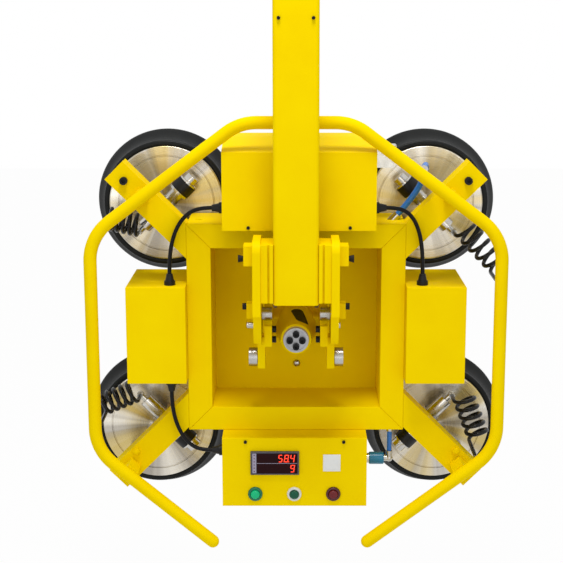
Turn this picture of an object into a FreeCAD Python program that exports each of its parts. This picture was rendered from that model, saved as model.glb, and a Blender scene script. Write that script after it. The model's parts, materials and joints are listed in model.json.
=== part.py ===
import FreeCAD, Part
import math
import os

V = FreeCAD.Vector

# Sizes in mm. The shapes are drawn about the hub: X to the right, Y away from
# the operator with zero at the frame's face, Z up, and the hub axis along Y.

# Mast, hanger and lifting eye
MAST_WIDTH = 84.0
MAST_DEPTH = 80.0
MAST_WALL = 5.0
MAST_CORNER_R = 8.0
MAST_FOOT_PLATE = 6.0
MAST_TOP = 700.0
MAST_SCREW_HEIGHT = 604.0
MAST_SCREW_SPACING = 62.0
HANGER_WIDTH = 64.0
HANGER_HEIGHT = 70.0
HANGER_WALL = 6.0
HANGER_BEHIND_EYE = 75.0
LUG_EYE_R = 17.0
LUG_EYE_RIM = 22.0
LUG_EYE_HEIGHT = 48.0
LUG_THICK = 20.0
LUG_FOOT = 120.0
EYE_BEHIND_FACE = 38.0

# Fork and tilt pivot
FORK_PLATE = 15.0
FORK_INNER_WIDTH = 131.0
FORK_TOP = 202.0
FORK_SHOULDER_R = 22.0
FORK_END_R = 59.0
FORK_FRONT_LIP = 5.0
FORK_UNDERSIDE = 62.0
SPACER_TOP_STEP = 6.0
SPACER_FOOT_STEP = 4.0
SPACER_GROOVE_WIDTH = 3.5
SPACER_GROOVE_DEPTH = 6.0
SPACER_RIB = 7.0
PIVOT_BEFORE_FACE = 75.0
PIVOT_HEIGHT = 48.0
PIVOT_PIN_R = 8.0
PIVOT_BOSS_R = 13.0
LOCK_PIN_R = 6.0
LOCK_PIN_LENGTH = 28.5
LOCK_BEFORE_PIVOT = 13.0
LOCK_BELOW_PIVOT = 20.0
DOWEL_OUT = 4.0
KEEPER_THICK = 14.0
KEEPER_WIDTH = 24.0
KEEPER_LIFT = 14.0
PLUNGER_BLOCK_THICK = 17.0
PLUNGER_BLOCK_WIDTH = 40.0
PLUNGER_BLOCK_HEIGHT = 38.0
PLUNGER_BLOCK_BELOW_TOP = 11.0
PLUNGER_R = 5.0
PLUNGER_KNOB_R = 7.5
PLUNGER_KNOB_LENGTH = 10.0
PLUNGER_BITE = 5.0
PLUNGER_AXIS_RISE = 11.0

# Tilt head
LUG_PLATE = 14.5
LUG_NOSE = 23.0
LUG_NOSE_TOP = 20.0
LUG_NOSE_HEIGHT = 40.0
LUG_TAIL_DROP = 71.0
LUG_EAR_LAP = 14.0
LUG_BEHIND_FACE = 90.0
LUG_SHOULDER_RISE = 6.0
LUG_SHOULDER_RUN = 18.0
LUG_TAIL_RIM = 12.0
LOCK_HOLE_GAP = 0.3
BUMPER_R = 18.5
BUMPER_LENGTH = 16.5
BUMPER_AXLE_R = 7.0
BUMPER_BEFORE_FACE = 20.0
BUMPER_DROP = 52.0
HUB_WALL = 4.0
HUB_FLARE = 11.0
HUB_FRONT_BEFORE_PIVOT = 11.0
HUB_BLOCK_HALF_HEIGHT = 22.0
HUB_FLANGE_RIM = 13.0
HUB_FLANGE_THICK = 10.0
HUB_SLOT_WIDTH = 24.0
HUB_SLOT_TURN = 12.0
HUB_SLOT_SHIFT = 12.0
HUB_SLOT_LENGTH = 72.0
HUB_SLOT_BEHIND_FRONT = 18.0
BUSH_WALL = 5.0
BUSH_LENGTH = 40.0
NOSE_SCREW_SPACING = 20.0

# Spindle
SPINDLE_R = 20.0
SPINDLE_FLANGE_R = 62.0
SPINDLE_FLANGE_THICK = 12.0
SPINDLE_BOLTS = 6
END_DISC_RIM = 4.0
END_DISC_THICK = 9.0
END_DISC_DISH = 2.0
END_SCREW_RING_R = 12.0

# Frame
FRAME_WIDTH = 430.0
FRAME_HEIGHT = 418.0
FRAME_DEPTH = 150.0
FRAME_FACE = 48.0
FRAME_WALL = 4.0
BACK_PLATE = 8.0
BACK_PLATE_INSET = 4.0
TUBE_HOLE_FROM_SIDE = 22.0
TUBE_HOLE_BEHIND_FACE = 62.0

# Pads, arms and valves
PAD_OUT_UPPER = 52.0
PAD_RISE_UPPER = 19.0
PAD_OUT_LOWER = 78.0
PAD_DROP_LOWER = 37.0
PAD_PLATE_R = 118.0
PAD_PLATE_THICK = 14.0
PAD_PLATE_FRONT = 158.0
PAD_GROOVE_R = 97.0
PAD_GROOVE_WIDTH = 2.0
PAD_GROOVE_DEPTH = 1.5
PAD_RIM_BEVEL = 2.0
SEAL_R = 148.0
SEAL_DEPTH = 50.0
SEAL_LIP = 10.0
SEAL_BAND = 11.0
SEAL_STEP = 3.0
SEAL_LEDGE = 12.0
SEAL_SKIRT = 8.0
ARM_WIDTH = 50.0
ARM_WALL = 4.0
ARM_FRONT = 0.0
ARM_ANGLE = 45.0
ARM_PAST_POST_UPPER = 72.0
ARM_PAST_POST_LOWER = 40.0
ARM_BOLT_IN_UPPER = 28.0
ARM_BOLT_IN_LOWER = 18.0
ARM_BOLT_R = 4.8
MOUNT_R = 12.5
MOUNT_FROM_VALVE = 48.0
VALVE_R = 15.0
VALVE_HOSE_END = 60.0
VALVE_BEFORE_PLATE = 34.0
VALVE_END_STOP = 4.0
VALVE_SHIFT_LOWER = 30.0
VALVE_SADDLE_WIDTH = 30.0
VALVE_SADDLE_LENGTH = 26.0
SLIDE_WALL = 6.5
SLIDE_LENGTH = 32.0
SLIDE_TRAVEL = 10.0
SLIDE_START = 38.0

# Handle
HANDLE_R = 12.5
HANDLE_WALL = 2.5
HANDLE_BEFORE_FACE = 60.0
HANDLE_TOP = 411.0
HANDLE_TOP_HALF = 106.0
HANDLE_SIDE = 394.0
HANDLE_SIDE_TOP = 194.0
HANDLE_SIDE_FOOT = 231.0
HANDLE_END = 422.0
HANDLE_END_LEFT = 166.0
HANDLE_END_RIGHT = 142.0
HANDLE_BEND_R = 95.0
POST_SIDE = 25.0
POST_HUG = 5.0

# Pump box
PUMP_WIDTH = 294.0
PUMP_SHIFT = 6.0
PUMP_BEFORE_FACE = 60.0
PUMP_SKIRT = 3.5
PUMP_FRONT_HEIGHT = 149.5
PUMP_SLOPE_RUN = 84.0
PUMP_SLOPE_RISE = 22.0
PUMP_BEHIND_FACE = 110.0
PUMP_MOTOR_R = 38.0
PUMP_MOTOR_LENGTH = 110.0
PUMP_HEAD = 86.0
PUMP_GLAND_RISE = 34.0
SHEET = 2.0
FILTER_OUT = 44.0
FILTER_DEPTH = 40.0
FILTER_HEIGHT = 36.0
FILTER_CAP = 8.0
FILTER_LIP = 4.0
FILTER_RISE = 105.0
FILTER_BEHIND_FACE = 42.0

# Battery boxes
BATTERY_BOX_WIDTH = 116.0
BATTERY_BOX_TOP = 91.0
BATTERY_BOX_FOOT = 102.0
BATTERY_BEFORE_FACE = 40.0
BATTERY_GAP = 6.0
BATTERY_GLAND_FROM_FRAME = 32.0

# Control box
CONTROL_WIDTH = 286.0
CONTROL_SHIFT = -3.0
CONTROL_HEIGHT = 142.0
CONTROL_BEFORE_FACE = 52.0
CONTROL_DEPTH = 120.0
CONTROL_PANEL = 3.0
CONTROL_GLAND_DROP = 38.0
METER_WIDTH = 96.0
METER_HEIGHT = 48.0
METER_BEZEL = 6.0
METER_BODY_DEPTH = 60.0
METER_LEDGE = 3.0
METER_RECESS = 1.5
METER_FROM_LEFT = 104.0
METER_DROP = 51.0
BUTTON_R = 11.0
BUTTON_BEZEL_R = 14.5
BUTTON_BEZEL_THICK = 4.0
BUTTON_OUT = 8.0
BUTTON_WALL = 2.0
BUTTON_GAP = 0.35
BUTTON_STEM = 15.0
BUTTON_BARREL = 24.0
BUTTON_EDGE_R = 1.5
BUTTON_SPACING = 77.5
BUTTON_FROM_LEFT = 65.0
BUTTON_RISE = 26.0
PANEL_SCREW_HALF = 97.0
PANEL_SCREW_DROP = 8.0
COUPLER_R = 12.5
COUPLER_LENGTH = 30.0
COUPLER_DROP = 66.0
COUPLER_NUT = 8.0

# Cords and hoses
LEAD_R = 4.0
TUBE_R = 6.0
SENSOR_TUBE_R = 5.0
HOSE_R = 4.0
COIL_R = 21.0
COIL_TURNS = 5.0
COIL_BEFORE_VALVE = 46.0
HOSE_HEIGHT_UPPER_RIGHT = 97.0
HOSE_DROP_LOWER_LEFT = 200.0
COILS_INWARD = ("upper_left",)
HOSE_FROM_POST_LOWER_RIGHT = 39.0
TUBE_ALONG_SLANT = 165.0
TUBE_LEAN = 42.0
TUBE_DIP = 18.0
TUBE_STUB = 18.0
TUBE_SOCKET = 14.0
TUBE_START = 20.0
TUBE_BEND_FROM_FRAME = 76.0
TUBE_BEND_TO_HANDLE = 46.0
TUBE_SOCKET_RIM = 3.0
LEAD_BEFORE_FACE = 12.0
LEAD_START = 16.0
LEAD_BEND_FROM_PUMP = 42.0
LEAD_BEND_TO_BATTERY = 62.0
LEAD_BEND_FROM_BATTERY = 54.0
LEAD_BEND_TO_CONTROL = 36.0
LEAD_BENDS = 5
FITTING_R = 8.0
GLAND_R = 11.0
GLAND_LENGTH = 22.0
GLAND_NUT = 8.0
GLAND_STEP = 2.0

# Fits and clearances
RUN_GAP = 0.05
SIDE_GAP = 5.0
FACE_GAP = 0.5
WASHER_GAP = 1.0
FORK_TO_PUMP = 4.0
MAST_TO_HANDLE = 12.5
HUB_TO_MAST = 8.0
SCREW_R = 4.0
SMALL_SCREW_R = 2.0
BEVEL = 1.5
CUT = 1.0

frame_x = FRAME_WIDTH / 2
frame_z = FRAME_HEIGHT / 2
pivot_y = -PIVOT_BEFORE_FACE
pivot_z = PIVOT_HEIGHT
hub_front = pivot_y - HUB_FRONT_BEFORE_PIVOT
disc_back = hub_front - WASHER_GAP
disc_front = disc_back - END_DISC_THICK
screw_front = disc_front + END_DISC_DISH - 2 * SCREW_R
mast_foot = pivot_z + (pivot_y - min(disc_front, screw_front)) + HUB_TO_MAST
handle_y = -HANDLE_BEFORE_FACE
box_reach = max(PUMP_BEFORE_FACE, CONTROL_BEFORE_FACE, BATTERY_BEFORE_FACE)
front_reach = max(HANDLE_BEFORE_FACE + HANDLE_R, box_reach)
mast_back = -front_reach - MAST_TO_HANDLE
mast_front = mast_back - MAST_DEPTH
fork_back = -box_reach - FORK_TO_PUMP
fork_front = mast_front - FORK_FRONT_LIP
fork_in = FORK_INNER_WIDTH / 2
fork_out = fork_in + FORK_PLATE
lug_out = fork_in - SIDE_GAP
lug_in = lug_out - LUG_PLATE
plate_front = FRAME_DEPTH - BACK_PLATE_INSET - BACK_PLATE
flange_front = plate_front - SPINDLE_FLANGE_THICK
hub_back = flange_front - WASHER_GAP
bush_r = SPINDLE_R + RUN_GAP + BUSH_WALL
hub_r = bush_r + RUN_GAP + HUB_WALL
lock_y = pivot_y - LOCK_BEFORE_PIVOT
lock_z = pivot_z - LOCK_BELOW_PIVOT
arm_back = ARM_FRONT + ARM_WIDTH
valve_y = PAD_PLATE_FRONT - VALVE_BEFORE_PLATE
valve_free_end = SLIDE_START + SLIDE_LENGTH + SLIDE_TRAVEL + VALVE_END_STOP
eye_z = MAST_TOP + HANGER_HEIGHT + LUG_EYE_HEIGHT
eye = V(0, EYE_BEHIND_FACE, eye_z)
lead_y = -LEAD_BEFORE_FACE
SIDES = (-1, 1)
PADS = (
    ("upper_left", -1, 1),
    ("upper_right", 1, 1),
    ("lower_left", -1, -1),
    ("lower_right", 1, -1),
)
AWAY = V(0, 1, 0)
UP = V(0, 0, 1)
RIGHT = V(1, 0, 0)


def box(x0, x1, y0, y1, z0, z1):
    corner = V(min(x0, x1), min(y0, y1), min(z0, z1))
    return Part.makeBox(abs(x1 - x0), abs(y1 - y0), abs(z1 - z0), corner)


def rod(radius, start, end):
    run = end - start
    return Part.makeCylinder(radius, run.Length, start, run)


def prism(points, direction):
    wire = Part.makePolygon(points + [points[0]])
    return Part.Face(wire).extrude(direction)


def turned(profile, centre):
    """A ring or disc about an axis along Y; the profile is (radius, depth) pairs."""
    points = [V(r, y, 0) for r, y in profile]
    face = Part.Face(Part.makePolygon(points + [points[0]]))
    solid = face.revolve(V(0, 0, 0), AWAY, 360)
    solid.translate(centre)
    return solid


def round_edges(shape):
    return [e for e in shape.Edges if len(e.Vertexes) == 1]


def edges_along(shape, way, place):
    """The straight edges that run along way and lie as far out as place in its own direction."""
    out = V(place).normalize()
    found = []
    for edge in shape.Edges:
        ends = [v.Point for v in edge.Vertexes]
        level = max(abs(end.dot(out) - place.Length) for end in ends)
        if level < 0.01 and abs((ends[-1] - ends[0]).normalize().dot(way)) > 0.99:
            found.append(edge)
    return found


def group(shapes):
    return Part.makeCompound(shapes)


def fused(shapes):
    whole = shapes[0].multiFuse(shapes[1:])
    return whole.removeSplitter()


def cap_screw(seat, out, radius, shank):
    """A socket screw: its head stands on seat along out, the shank runs the other way."""
    head = rod(radius * 1.6, seat, seat + out * radius * 2)
    socket = rod(radius * 0.8, seat + out * radius, seat + out * radius * 2)
    stem = rod(radius, seat - out * shank, seat)
    return head.cut(socket).fuse(stem)


def screw_hole(seat, out, radius, shank):
    return rod(radius + RUN_GAP, seat - out * (shank + FACE_GAP), seat)


def corner_arc(before, corner, after, reach):
    """Ends and middle of the arc that rounds a corner, reach from it along both runs."""
    back = (before - corner).normalize()
    ahead = (after - corner).normalize()
    start = corner + back * reach
    end = corner + ahead * reach
    half = back.getAngle(ahead) / 2
    radius = reach * math.tan(half)
    middle = corner + (back + ahead).normalize() * (radius / math.sin(half) - radius)
    return start, middle, end, radius


def rounded_path(points, reach_at):
    edges = []
    radii = []
    at = points[0]
    for i in range(1, len(points) - 1):
        reach = reach_at(points, i)
        start, middle, end, radius = corner_arc(points[i - 1], points[i], points[i + 1], reach)
        edges.append(Part.LineSegment(at, start).toShape())
        edges.append(Part.Arc(start, middle, end).toShape())
        radii.append(radius)
        at = end
    edges.append(Part.LineSegment(at, points[-1]).toShape())
    return Part.Wire(edges), radii


def swept(path, start, direction, radius):
    ring = Part.Wire(Part.Circle(start, direction, radius).toShape())
    return path.makePipeShell([ring], True, False)


def cord_reach(points, i):
    return 0.45 * min((points[i] - points[i - 1]).Length, (points[i + 1] - points[i]).Length)


def cord(name, points, radius):
    path, radii = rounded_path(points, cord_reach)
    tube = swept(path, points[0], points[1] - points[0], radius)
    ratio = tube.Volume / (math.pi * radius ** 2 * path.Length)
    runs = [(b - a).Length for a, b in zip(points, points[1:])]
    print(name, "length", round(path.Length, 1), "least radius", round(min(radii), 1),
          "runs", [round(r, 1) for r in runs], "volume ratio", round(ratio, 4))
    return tube


def route(start, out, end, into, lead, reaches, count):
    """Points from start to end: straight leads along out and into, a smooth bend between them."""
    first = start + out * lead
    last = end - into * lead
    pull = first + out * reaches[0]
    push = last - into * reaches[1]
    points = [start]
    for i in range(count + 1):
        t = i / count
        u = 1 - t
        points.append(first * u ** 3 + pull * (3 * u * u * t) + push * (3 * u * t * t) + last * t ** 3)
    return points + [end]


def biarc(p0, t0, p1, t1):
    """Two arcs that join p0 to p1 and leave and arrive along t0 and t1."""
    gap = p1 - p0
    both = t0 + t1
    bend = 2 * (1 - t0.dot(t1))
    along = gap.dot(both)
    if bend < 1e-9:
        reach = gap.dot(gap) / (2 * along)
    else:
        reach = (-along + math.sqrt(along ** 2 + bend * gap.dot(gap))) / bend
    q0 = p0 + t0 * reach
    q1 = p1 - t1 * reach
    joint = (q0 + q1) * 0.5
    arcs = []
    for start, corner, end in ((p0, q0, joint), (joint, q1, p1)):
        first, middle, last, radius = corner_arc(start, corner, end, reach)
        arcs.append((Part.Arc(start, middle, end).toShape(), radius))
    return arcs


def coil(name, start, end, sideways):
    """A coiled hose from a stub facing the operator to a stub on the handle's back.

    The turns run about an axis that lies sideways of the two stubs, so both tails meet them straight.
    """
    tail = 2 * HOSE_R
    ahead = -AWAY
    coil_y = valve_y - COIL_BEFORE_VALVE
    first = V(start.x, coil_y, start.z)
    last = V(end.x, coil_y, end.z)
    axis = last - first
    along = V(axis).normalize()
    steps = int(round(COIL_TURNS * 4))
    rise = axis.Length / (2 * math.pi * COIL_TURNS)
    stations = [(start + ahead * tail, ahead)]
    for i in range(steps + 1):
        angle = i * math.pi / 2
        spoke = ahead * math.sin(angle) - sideways * math.cos(angle)
        round_way = ahead * math.cos(angle) + sideways * math.sin(angle)
        place = first + sideways * COIL_R + axis * (i / steps) + spoke * COIL_R
        stations.append((place, (round_way * COIL_R + along * rise).normalize()))
    stations.append((end - ahead * tail, ahead))
    edges = [Part.LineSegment(start, stations[0][0]).toShape()]
    radii = []
    for (p0, t0), (p1, t1) in zip(stations, stations[1:]):
        for edge, radius in biarc(p0, t0, p1, t1):
            edges.append(edge)
            radii.append(radius)
    edges.append(Part.LineSegment(stations[-1][0], end).toShape())
    path = Part.Wire(edges)
    tube = swept(path, start, ahead, HOSE_R)
    marks = []
    run = 0.0
    for edge in edges:
        count = max(2, int(edge.Length / 2))
        pieces = edge.discretize(count + 1)[:-1]
        for i, point in enumerate(pieces):
            marks.append((run + edge.Length * i / count, point))
        run += edge.Length
    apart = []
    for i, (s0, a) in enumerate(marks):
        for s1, b in marks[i + 1:]:
            if s1 - s0 > 8 * HOSE_R:
                apart.append((a - b).Length)
    gap = min(apart) - 2 * HOSE_R
    ratio = tube.Volume / (math.pi * HOSE_R ** 2 * path.Length)
    print(name, "length", round(path.Length, 1), "least radius", round(min(radii), 1),
          "least gap", round(gap, 2), "volume ratio", round(ratio, 4))
    return tube


def elbow(start, first, first_run, second, second_run, radius):
    corner = start + first * first_run
    ball = Part.makeSphere(radius * 1.15, corner)
    return fused([rod(radius, start, corner), ball, rod(radius, corner, corner + second * second_run)])


# Mast, hanger and lug
mast_half = MAST_WIDTH / 2
mast = box(-mast_half, mast_half, mast_front, mast_back, mast_foot, MAST_TOP)
mast_corners = [e for y in (mast_front, mast_back) for e in edges_along(mast, UP, AWAY * y)]
mast = mast.makeFillet(MAST_CORNER_R, mast_corners)
mast = mast.cut(box(-mast_half + MAST_WALL, mast_half - MAST_WALL, mast_front + MAST_WALL,
                    mast_back - MAST_WALL, mast_foot + MAST_FOOT_PLATE, MAST_TOP + CUT))
mast_seats = [V(s * MAST_SCREW_SPACING / 2, mast_front, MAST_SCREW_HEIGHT) for s in SIDES]
for seat in mast_seats:
    mast = mast.cut(screw_hole(seat, -AWAY, SMALL_SCREW_R, MAST_WALL))
hanger_back = EYE_BEHIND_FACE + HANGER_BEHIND_EYE
hanger_top = MAST_TOP + HANGER_HEIGHT
hanger_half = HANGER_WIDTH / 2
hanger = box(-hanger_half, hanger_half, mast_front, hanger_back, MAST_TOP, hanger_top)
hanger = hanger.cut(box(-hanger_half + HANGER_WALL, hanger_half - HANGER_WALL, mast_front + HANGER_WALL,
                        hanger_back + CUT, MAST_TOP + HANGER_WALL, hanger_top - HANGER_WALL))
lug_half = LUG_THICK / 2
eye_outer = LUG_EYE_R + LUG_EYE_RIM
lug_foot = max(LUG_FOOT / 2, eye_outer + CUT)
lug_plan = prism([V(-lug_half, EYE_BEHIND_FACE - lug_foot, hanger_top),
                  V(-lug_half, EYE_BEHIND_FACE + lug_foot, hanger_top),
                  V(-lug_half, EYE_BEHIND_FACE + eye_outer, eye_z),
                  V(-lug_half, EYE_BEHIND_FACE - eye_outer, eye_z)], V(LUG_THICK, 0, 0))
lug_round = rod(eye_outer, eye - RIGHT * lug_half, eye + RIGHT * lug_half)
lug_bore = rod(LUG_EYE_R, eye - RIGHT * LUG_THICK, eye + RIGHT * LUG_THICK)
lifting_lug = fused([lug_plan, lug_round]).cut(lug_bore)

# Fork plates, spacers, plunger blocks and keepers
pivot = V(0, pivot_y, pivot_z)
plunger_z = FORK_TOP - PLUNGER_BLOCK_BELOW_TOP - PLUNGER_BLOCK_HEIGHT + PLUNGER_AXIS_RISE
plunger_y = (mast_front + mast_back) / 2
spacer_foot = mast_foot + SPACER_FOOT_STEP
spacer_top = FORK_TOP - SPACER_TOP_STEP
block_top = FORK_TOP - PLUNGER_BLOCK_BELOW_TOP
block_out = fork_out + PLUNGER_BLOCK_THICK
keeper_out = fork_out + KEEPER_THICK
keeper_z = pivot_z + KEEPER_LIFT
plunger_tip = fork_in - PLUNGER_BITE
fork_plates = []
fork_blocks = []
tilt_pins = []
mast_screws = [cap_screw(seat, -AWAY, SMALL_SCREW_R, MAST_WALL) for seat in mast_seats]
for side in SIDES:
    upper = box(side * fork_in, side * fork_out, fork_front, fork_back, FORK_UNDERSIDE, FORK_TOP)
    upper = upper.makeFillet(FORK_SHOULDER_R, edges_along(upper, RIGHT, UP * FORK_TOP))
    lower = rod(FORK_END_R, pivot + RIGHT * side * fork_in, pivot + RIGHT * side * fork_out)
    plate = fused([upper, lower])
    through = RIGHT * side * FORK_INNER_WIDTH
    plate = plate.cut(rod(PIVOT_PIN_R + RUN_GAP, pivot, pivot + through))
    plate = plate.cut(rod(LOCK_PIN_R + RUN_GAP, V(0, lock_y, lock_z), V(0, lock_y, lock_z) + through))
    plunger_axis = V(0, plunger_y, plunger_z)
    plunger_bore = rod(PLUNGER_R + RUN_GAP, plunger_axis + RIGHT * side * (plunger_tip - FACE_GAP),
                       plunger_axis + through)
    plate = plate.cut(plunger_bore)
    keeper_seat = V(side * keeper_out, pivot_y, keeper_z)
    keeper_hole = screw_hole(keeper_seat, RIGHT * side, SCREW_R, KEEPER_THICK + FORK_PLATE / 2)
    fork_plates.append(plate.cut(keeper_hole))
    spacer = box(side * mast_half, side * fork_in, mast_front, mast_back, spacer_foot, spacer_top)
    groove_at = mast_half + SPACER_RIB
    groove = box(side * groove_at, side * (groove_at + SPACER_GROOVE_WIDTH), mast_front,
                 mast_front + SPACER_GROOVE_DEPTH, spacer_foot, spacer_top)
    fork_blocks.append(spacer.cut(groove).cut(plunger_bore))
    block = box(side * fork_out, side * block_out, plunger_y - PLUNGER_BLOCK_WIDTH / 2,
                plunger_y + PLUNGER_BLOCK_WIDTH / 2, block_top - PLUNGER_BLOCK_HEIGHT, block_top)
    fork_blocks.append(block.cut(plunger_bore))
    keeper = box(side * fork_out, side * keeper_out, pivot_y - KEEPER_WIDTH / 2, pivot_y + KEEPER_WIDTH / 2,
                 pivot_z - PIVOT_PIN_R, keeper_z + 2 * SCREW_R)
    fork_blocks.append(keeper.cut(keeper_hole))
    mast_screws.append(cap_screw(keeper_seat, RIGHT * side, SCREW_R, KEEPER_THICK + FORK_PLATE / 2))
    tilt_pins.append(rod(PIVOT_PIN_R, pivot + RIGHT * side * lug_in, pivot + RIGHT * side * fork_out))
tilt_pins.append(rod(LOCK_PIN_R, V(fork_in, lock_y, lock_z), V(fork_out + DOWEL_OUT, lock_y, lock_z)))


def plunger(side):
    axis = V(0, plunger_y, plunger_z)
    knob_from = block_out + FACE_GAP
    pin = rod(PLUNGER_R, axis + RIGHT * side * plunger_tip, axis + RIGHT * side * knob_from)
    out = RIGHT * side
    knob = Part.makeCone(PLUNGER_R, PLUNGER_KNOB_R, PLUNGER_KNOB_LENGTH, axis + out * knob_from, out)
    return fused([pin, knob])


lock_tip = fork_in + RUN_GAP + FACE_GAP
lock_pin = rod(LOCK_PIN_R, V(-lock_tip, lock_y, lock_z), V(-lock_tip - LOCK_PIN_LENGTH, lock_y, lock_z))
lock_pin = lock_pin.makeChamfer(BEVEL, round_edges(lock_pin))

# Tilt head
housing = rod(hub_r, V(0, hub_front, 0), V(0, hub_back, 0))
flare_r = hub_r + HUB_FLARE
flare = Part.makeCone(hub_r, flare_r, -hub_front, V(0, hub_front, 0), AWAY)
drum = rod(flare_r, V(0, 0, 0), V(0, LUG_BEHIND_FACE / 2, 0))
housing_flange = rod(hub_r + HUB_FLANGE_RIM, V(0, hub_back - HUB_FLANGE_THICK, 0), V(0, hub_back, 0))
wings = box(-lug_in, lug_in, 0, LUG_BEHIND_FACE, -HUB_BLOCK_HALF_HEIGHT, HUB_BLOCK_HALF_HEIGHT)
housing = fused([housing, flare, drum, housing_flange, wings])
housing = housing.cut(rod(bush_r + RUN_GAP, V(0, hub_front - CUT, 0), V(0, hub_back + CUT, 0)))
slot_half = HUB_SLOT_WIDTH / 2
slot_from = hub_front + HUB_SLOT_BEHIND_FRONT + slot_half
slot_to = slot_from + HUB_SLOT_LENGTH - HUB_SLOT_WIDTH
slot_top = flare_r + CUT
slot = fused([box(-slot_half, slot_half, slot_from, slot_to, 0, slot_top),
              rod(slot_half, V(0, slot_from, 0), V(0, slot_from, slot_top)),
              rod(slot_half, V(0, slot_to, 0), V(0, slot_to, slot_top))])
slot.rotate(V(0, slot_from, 0), UP, HUB_SLOT_TURN)
slot.translate(RIGHT * HUB_SLOT_SHIFT)
housing = housing.cut(slot)
bushes = []
for bush_from in (hub_front, hub_back - BUSH_LENGTH):
    bush_to = bush_from + BUSH_LENGTH
    bush = rod(bush_r, V(0, bush_from, 0), V(0, bush_to, 0))
    bushes.append(bush.cut(rod(SPINDLE_R + RUN_GAP, V(0, bush_from - CUT, 0), V(0, bush_to + CUT, 0))))
nose_front = pivot_y - LUG_NOSE
nose_top = pivot_z - LUG_NOSE_TOP
nose_foot = nose_top - LUG_NOSE_HEIGHT
tail_y = -BUMPER_BEFORE_FACE
bumper_z = -BUMPER_DROP
tail_half = BUMPER_AXLE_R + LUG_TAIL_RIM
ear_out = lug_out + LUG_PLATE
shoulder_y = pivot_y + PIVOT_BOSS_R + LUG_SHOULDER_RISE
shoulder_z = pivot_z + PIVOT_BOSS_R + LUG_SHOULDER_RISE
boss_lean = PIVOT_BOSS_R * 0.6
lugs = []
bosses = []
head_screws = []
nose_gap = NOSE_SCREW_SPACING / 2
for side in SIDES:
    outline = [
        (nose_front, nose_foot), (nose_front, nose_top), (pivot_y - boss_lean, nose_top),
        (shoulder_y, shoulder_z), (shoulder_y + LUG_SHOULDER_RUN, shoulder_z),
        (LUG_BEHIND_FACE, HUB_BLOCK_HALF_HEIGHT), (LUG_BEHIND_FACE, -HUB_BLOCK_HALF_HEIGHT),
        (tail_y - tail_half, -HUB_BLOCK_HALF_HEIGHT),
    ]
    lug = prism([V(side * lug_in, y, z) for y, z in outline], RIGHT * side * LUG_PLATE)
    ear = box(side * lug_out, side * ear_out, tail_y - tail_half, tail_y + tail_half, -LUG_TAIL_DROP,
              LUG_EAR_LAP - HUB_BLOCK_HALF_HEIGHT)
    lug = fused([lug, ear])
    across = RIGHT * side * FORK_INNER_WIDTH
    lug = lug.cut(rod(PIVOT_BOSS_R + RUN_GAP, pivot, pivot + across))
    lock_radius = LOCK_PIN_R + LOCK_HOLE_GAP
    for index_y, index_z in ((lock_y, lock_z), (pivot_y + LOCK_BELOW_PIVOT, pivot_z - LOCK_BEFORE_PIVOT)):
        lug = lug.cut(rod(lock_radius, V(0, index_y, index_z), V(0, index_y, index_z) + across))
    for step in (nose_gap, -nose_gap):
        seat = V(side * lug_in, nose_front + LUG_NOSE - SCREW_R, (nose_top + nose_foot) / 2 + step)
        lug = lug.cut(screw_hole(seat, -RIGHT * side, SCREW_R, LUG_PLATE * 0.7))
        head_screws.append(cap_screw(seat, -RIGHT * side, SCREW_R, LUG_PLATE * 0.7))
    axle_at = V(0, tail_y, bumper_z)
    lug = lug.cut(rod(BUMPER_AXLE_R + RUN_GAP, axle_at, axle_at + across))
    lugs.append(lug)
    boss = rod(PIVOT_BOSS_R, pivot + RIGHT * side * lug_in, pivot + RIGHT * side * (fork_in - WASHER_GAP))
    bosses.append(boss.cut(rod(PIVOT_PIN_R + RUN_GAP, pivot, pivot + across)))
    bumper_at = axle_at + RIGHT * side * (ear_out + WASHER_GAP)
    axle = rod(BUMPER_AXLE_R, axle_at + RIGHT * side * lug_out, bumper_at)
    roller = rod(BUMPER_R, bumper_at, bumper_at + RIGHT * side * BUMPER_LENGTH)
    bosses.append(fused([axle, roller]))

# Spindle, end disc and their screws
spindle = fused([rod(SPINDLE_FLANGE_R, V(0, flange_front, 0), V(0, plate_front, 0)),
                 rod(SPINDLE_R, V(0, disc_back, 0), V(0, plate_front, 0))])
disc_r = SPINDLE_R + END_DISC_RIM
end_disc = rod(disc_r, V(0, disc_front, 0), V(0, disc_back, 0))
end_disc = end_disc.cut(rod(SPINDLE_R, V(0, disc_front - CUT, 0), V(0, disc_front + END_DISC_DISH, 0)))
frame_screws = []
for i in range(4):
    turn = math.pi / 2 * i
    spoke = V(math.cos(turn), 0, math.sin(turn))
    seat = spoke * END_SCREW_RING_R + AWAY * (disc_front + END_DISC_DISH)
    shank = END_DISC_THICK + 4 * SCREW_R
    end_disc = end_disc.cut(screw_hole(seat, -AWAY, SCREW_R, shank))
    spindle = spindle.cut(screw_hole(seat, -AWAY, SCREW_R, shank))
    frame_screws.append(cap_screw(seat, -AWAY, SCREW_R, shank))
back_plate = box(-frame_x + FRAME_FACE, frame_x - FRAME_FACE, plate_front, plate_front + BACK_PLATE,
                 -frame_z + FRAME_FACE, frame_z - FRAME_FACE)
bolt_ring = (hub_r + HUB_FLANGE_RIM + SPINDLE_FLANGE_R) / 2
for i in range(SPINDLE_BOLTS):
    turn = 2 * math.pi * i / SPINDLE_BOLTS
    seat = V(bolt_ring * math.cos(turn), flange_front, bolt_ring * math.sin(turn))
    shank = SPINDLE_FLANGE_THICK + BACK_PLATE
    spindle = spindle.cut(screw_hole(seat, -AWAY, SCREW_R, shank))
    back_plate = back_plate.cut(screw_hole(seat, -AWAY, SCREW_R, shank))
    frame_screws.append(cap_screw(seat, -AWAY, SCREW_R, shank))

# Frame: four mitred members
inner_x = frame_x - FRAME_FACE
inner_z = frame_z - FRAME_FACE
tube_hole_x = frame_x - TUBE_HOLE_FROM_SIDE


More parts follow.
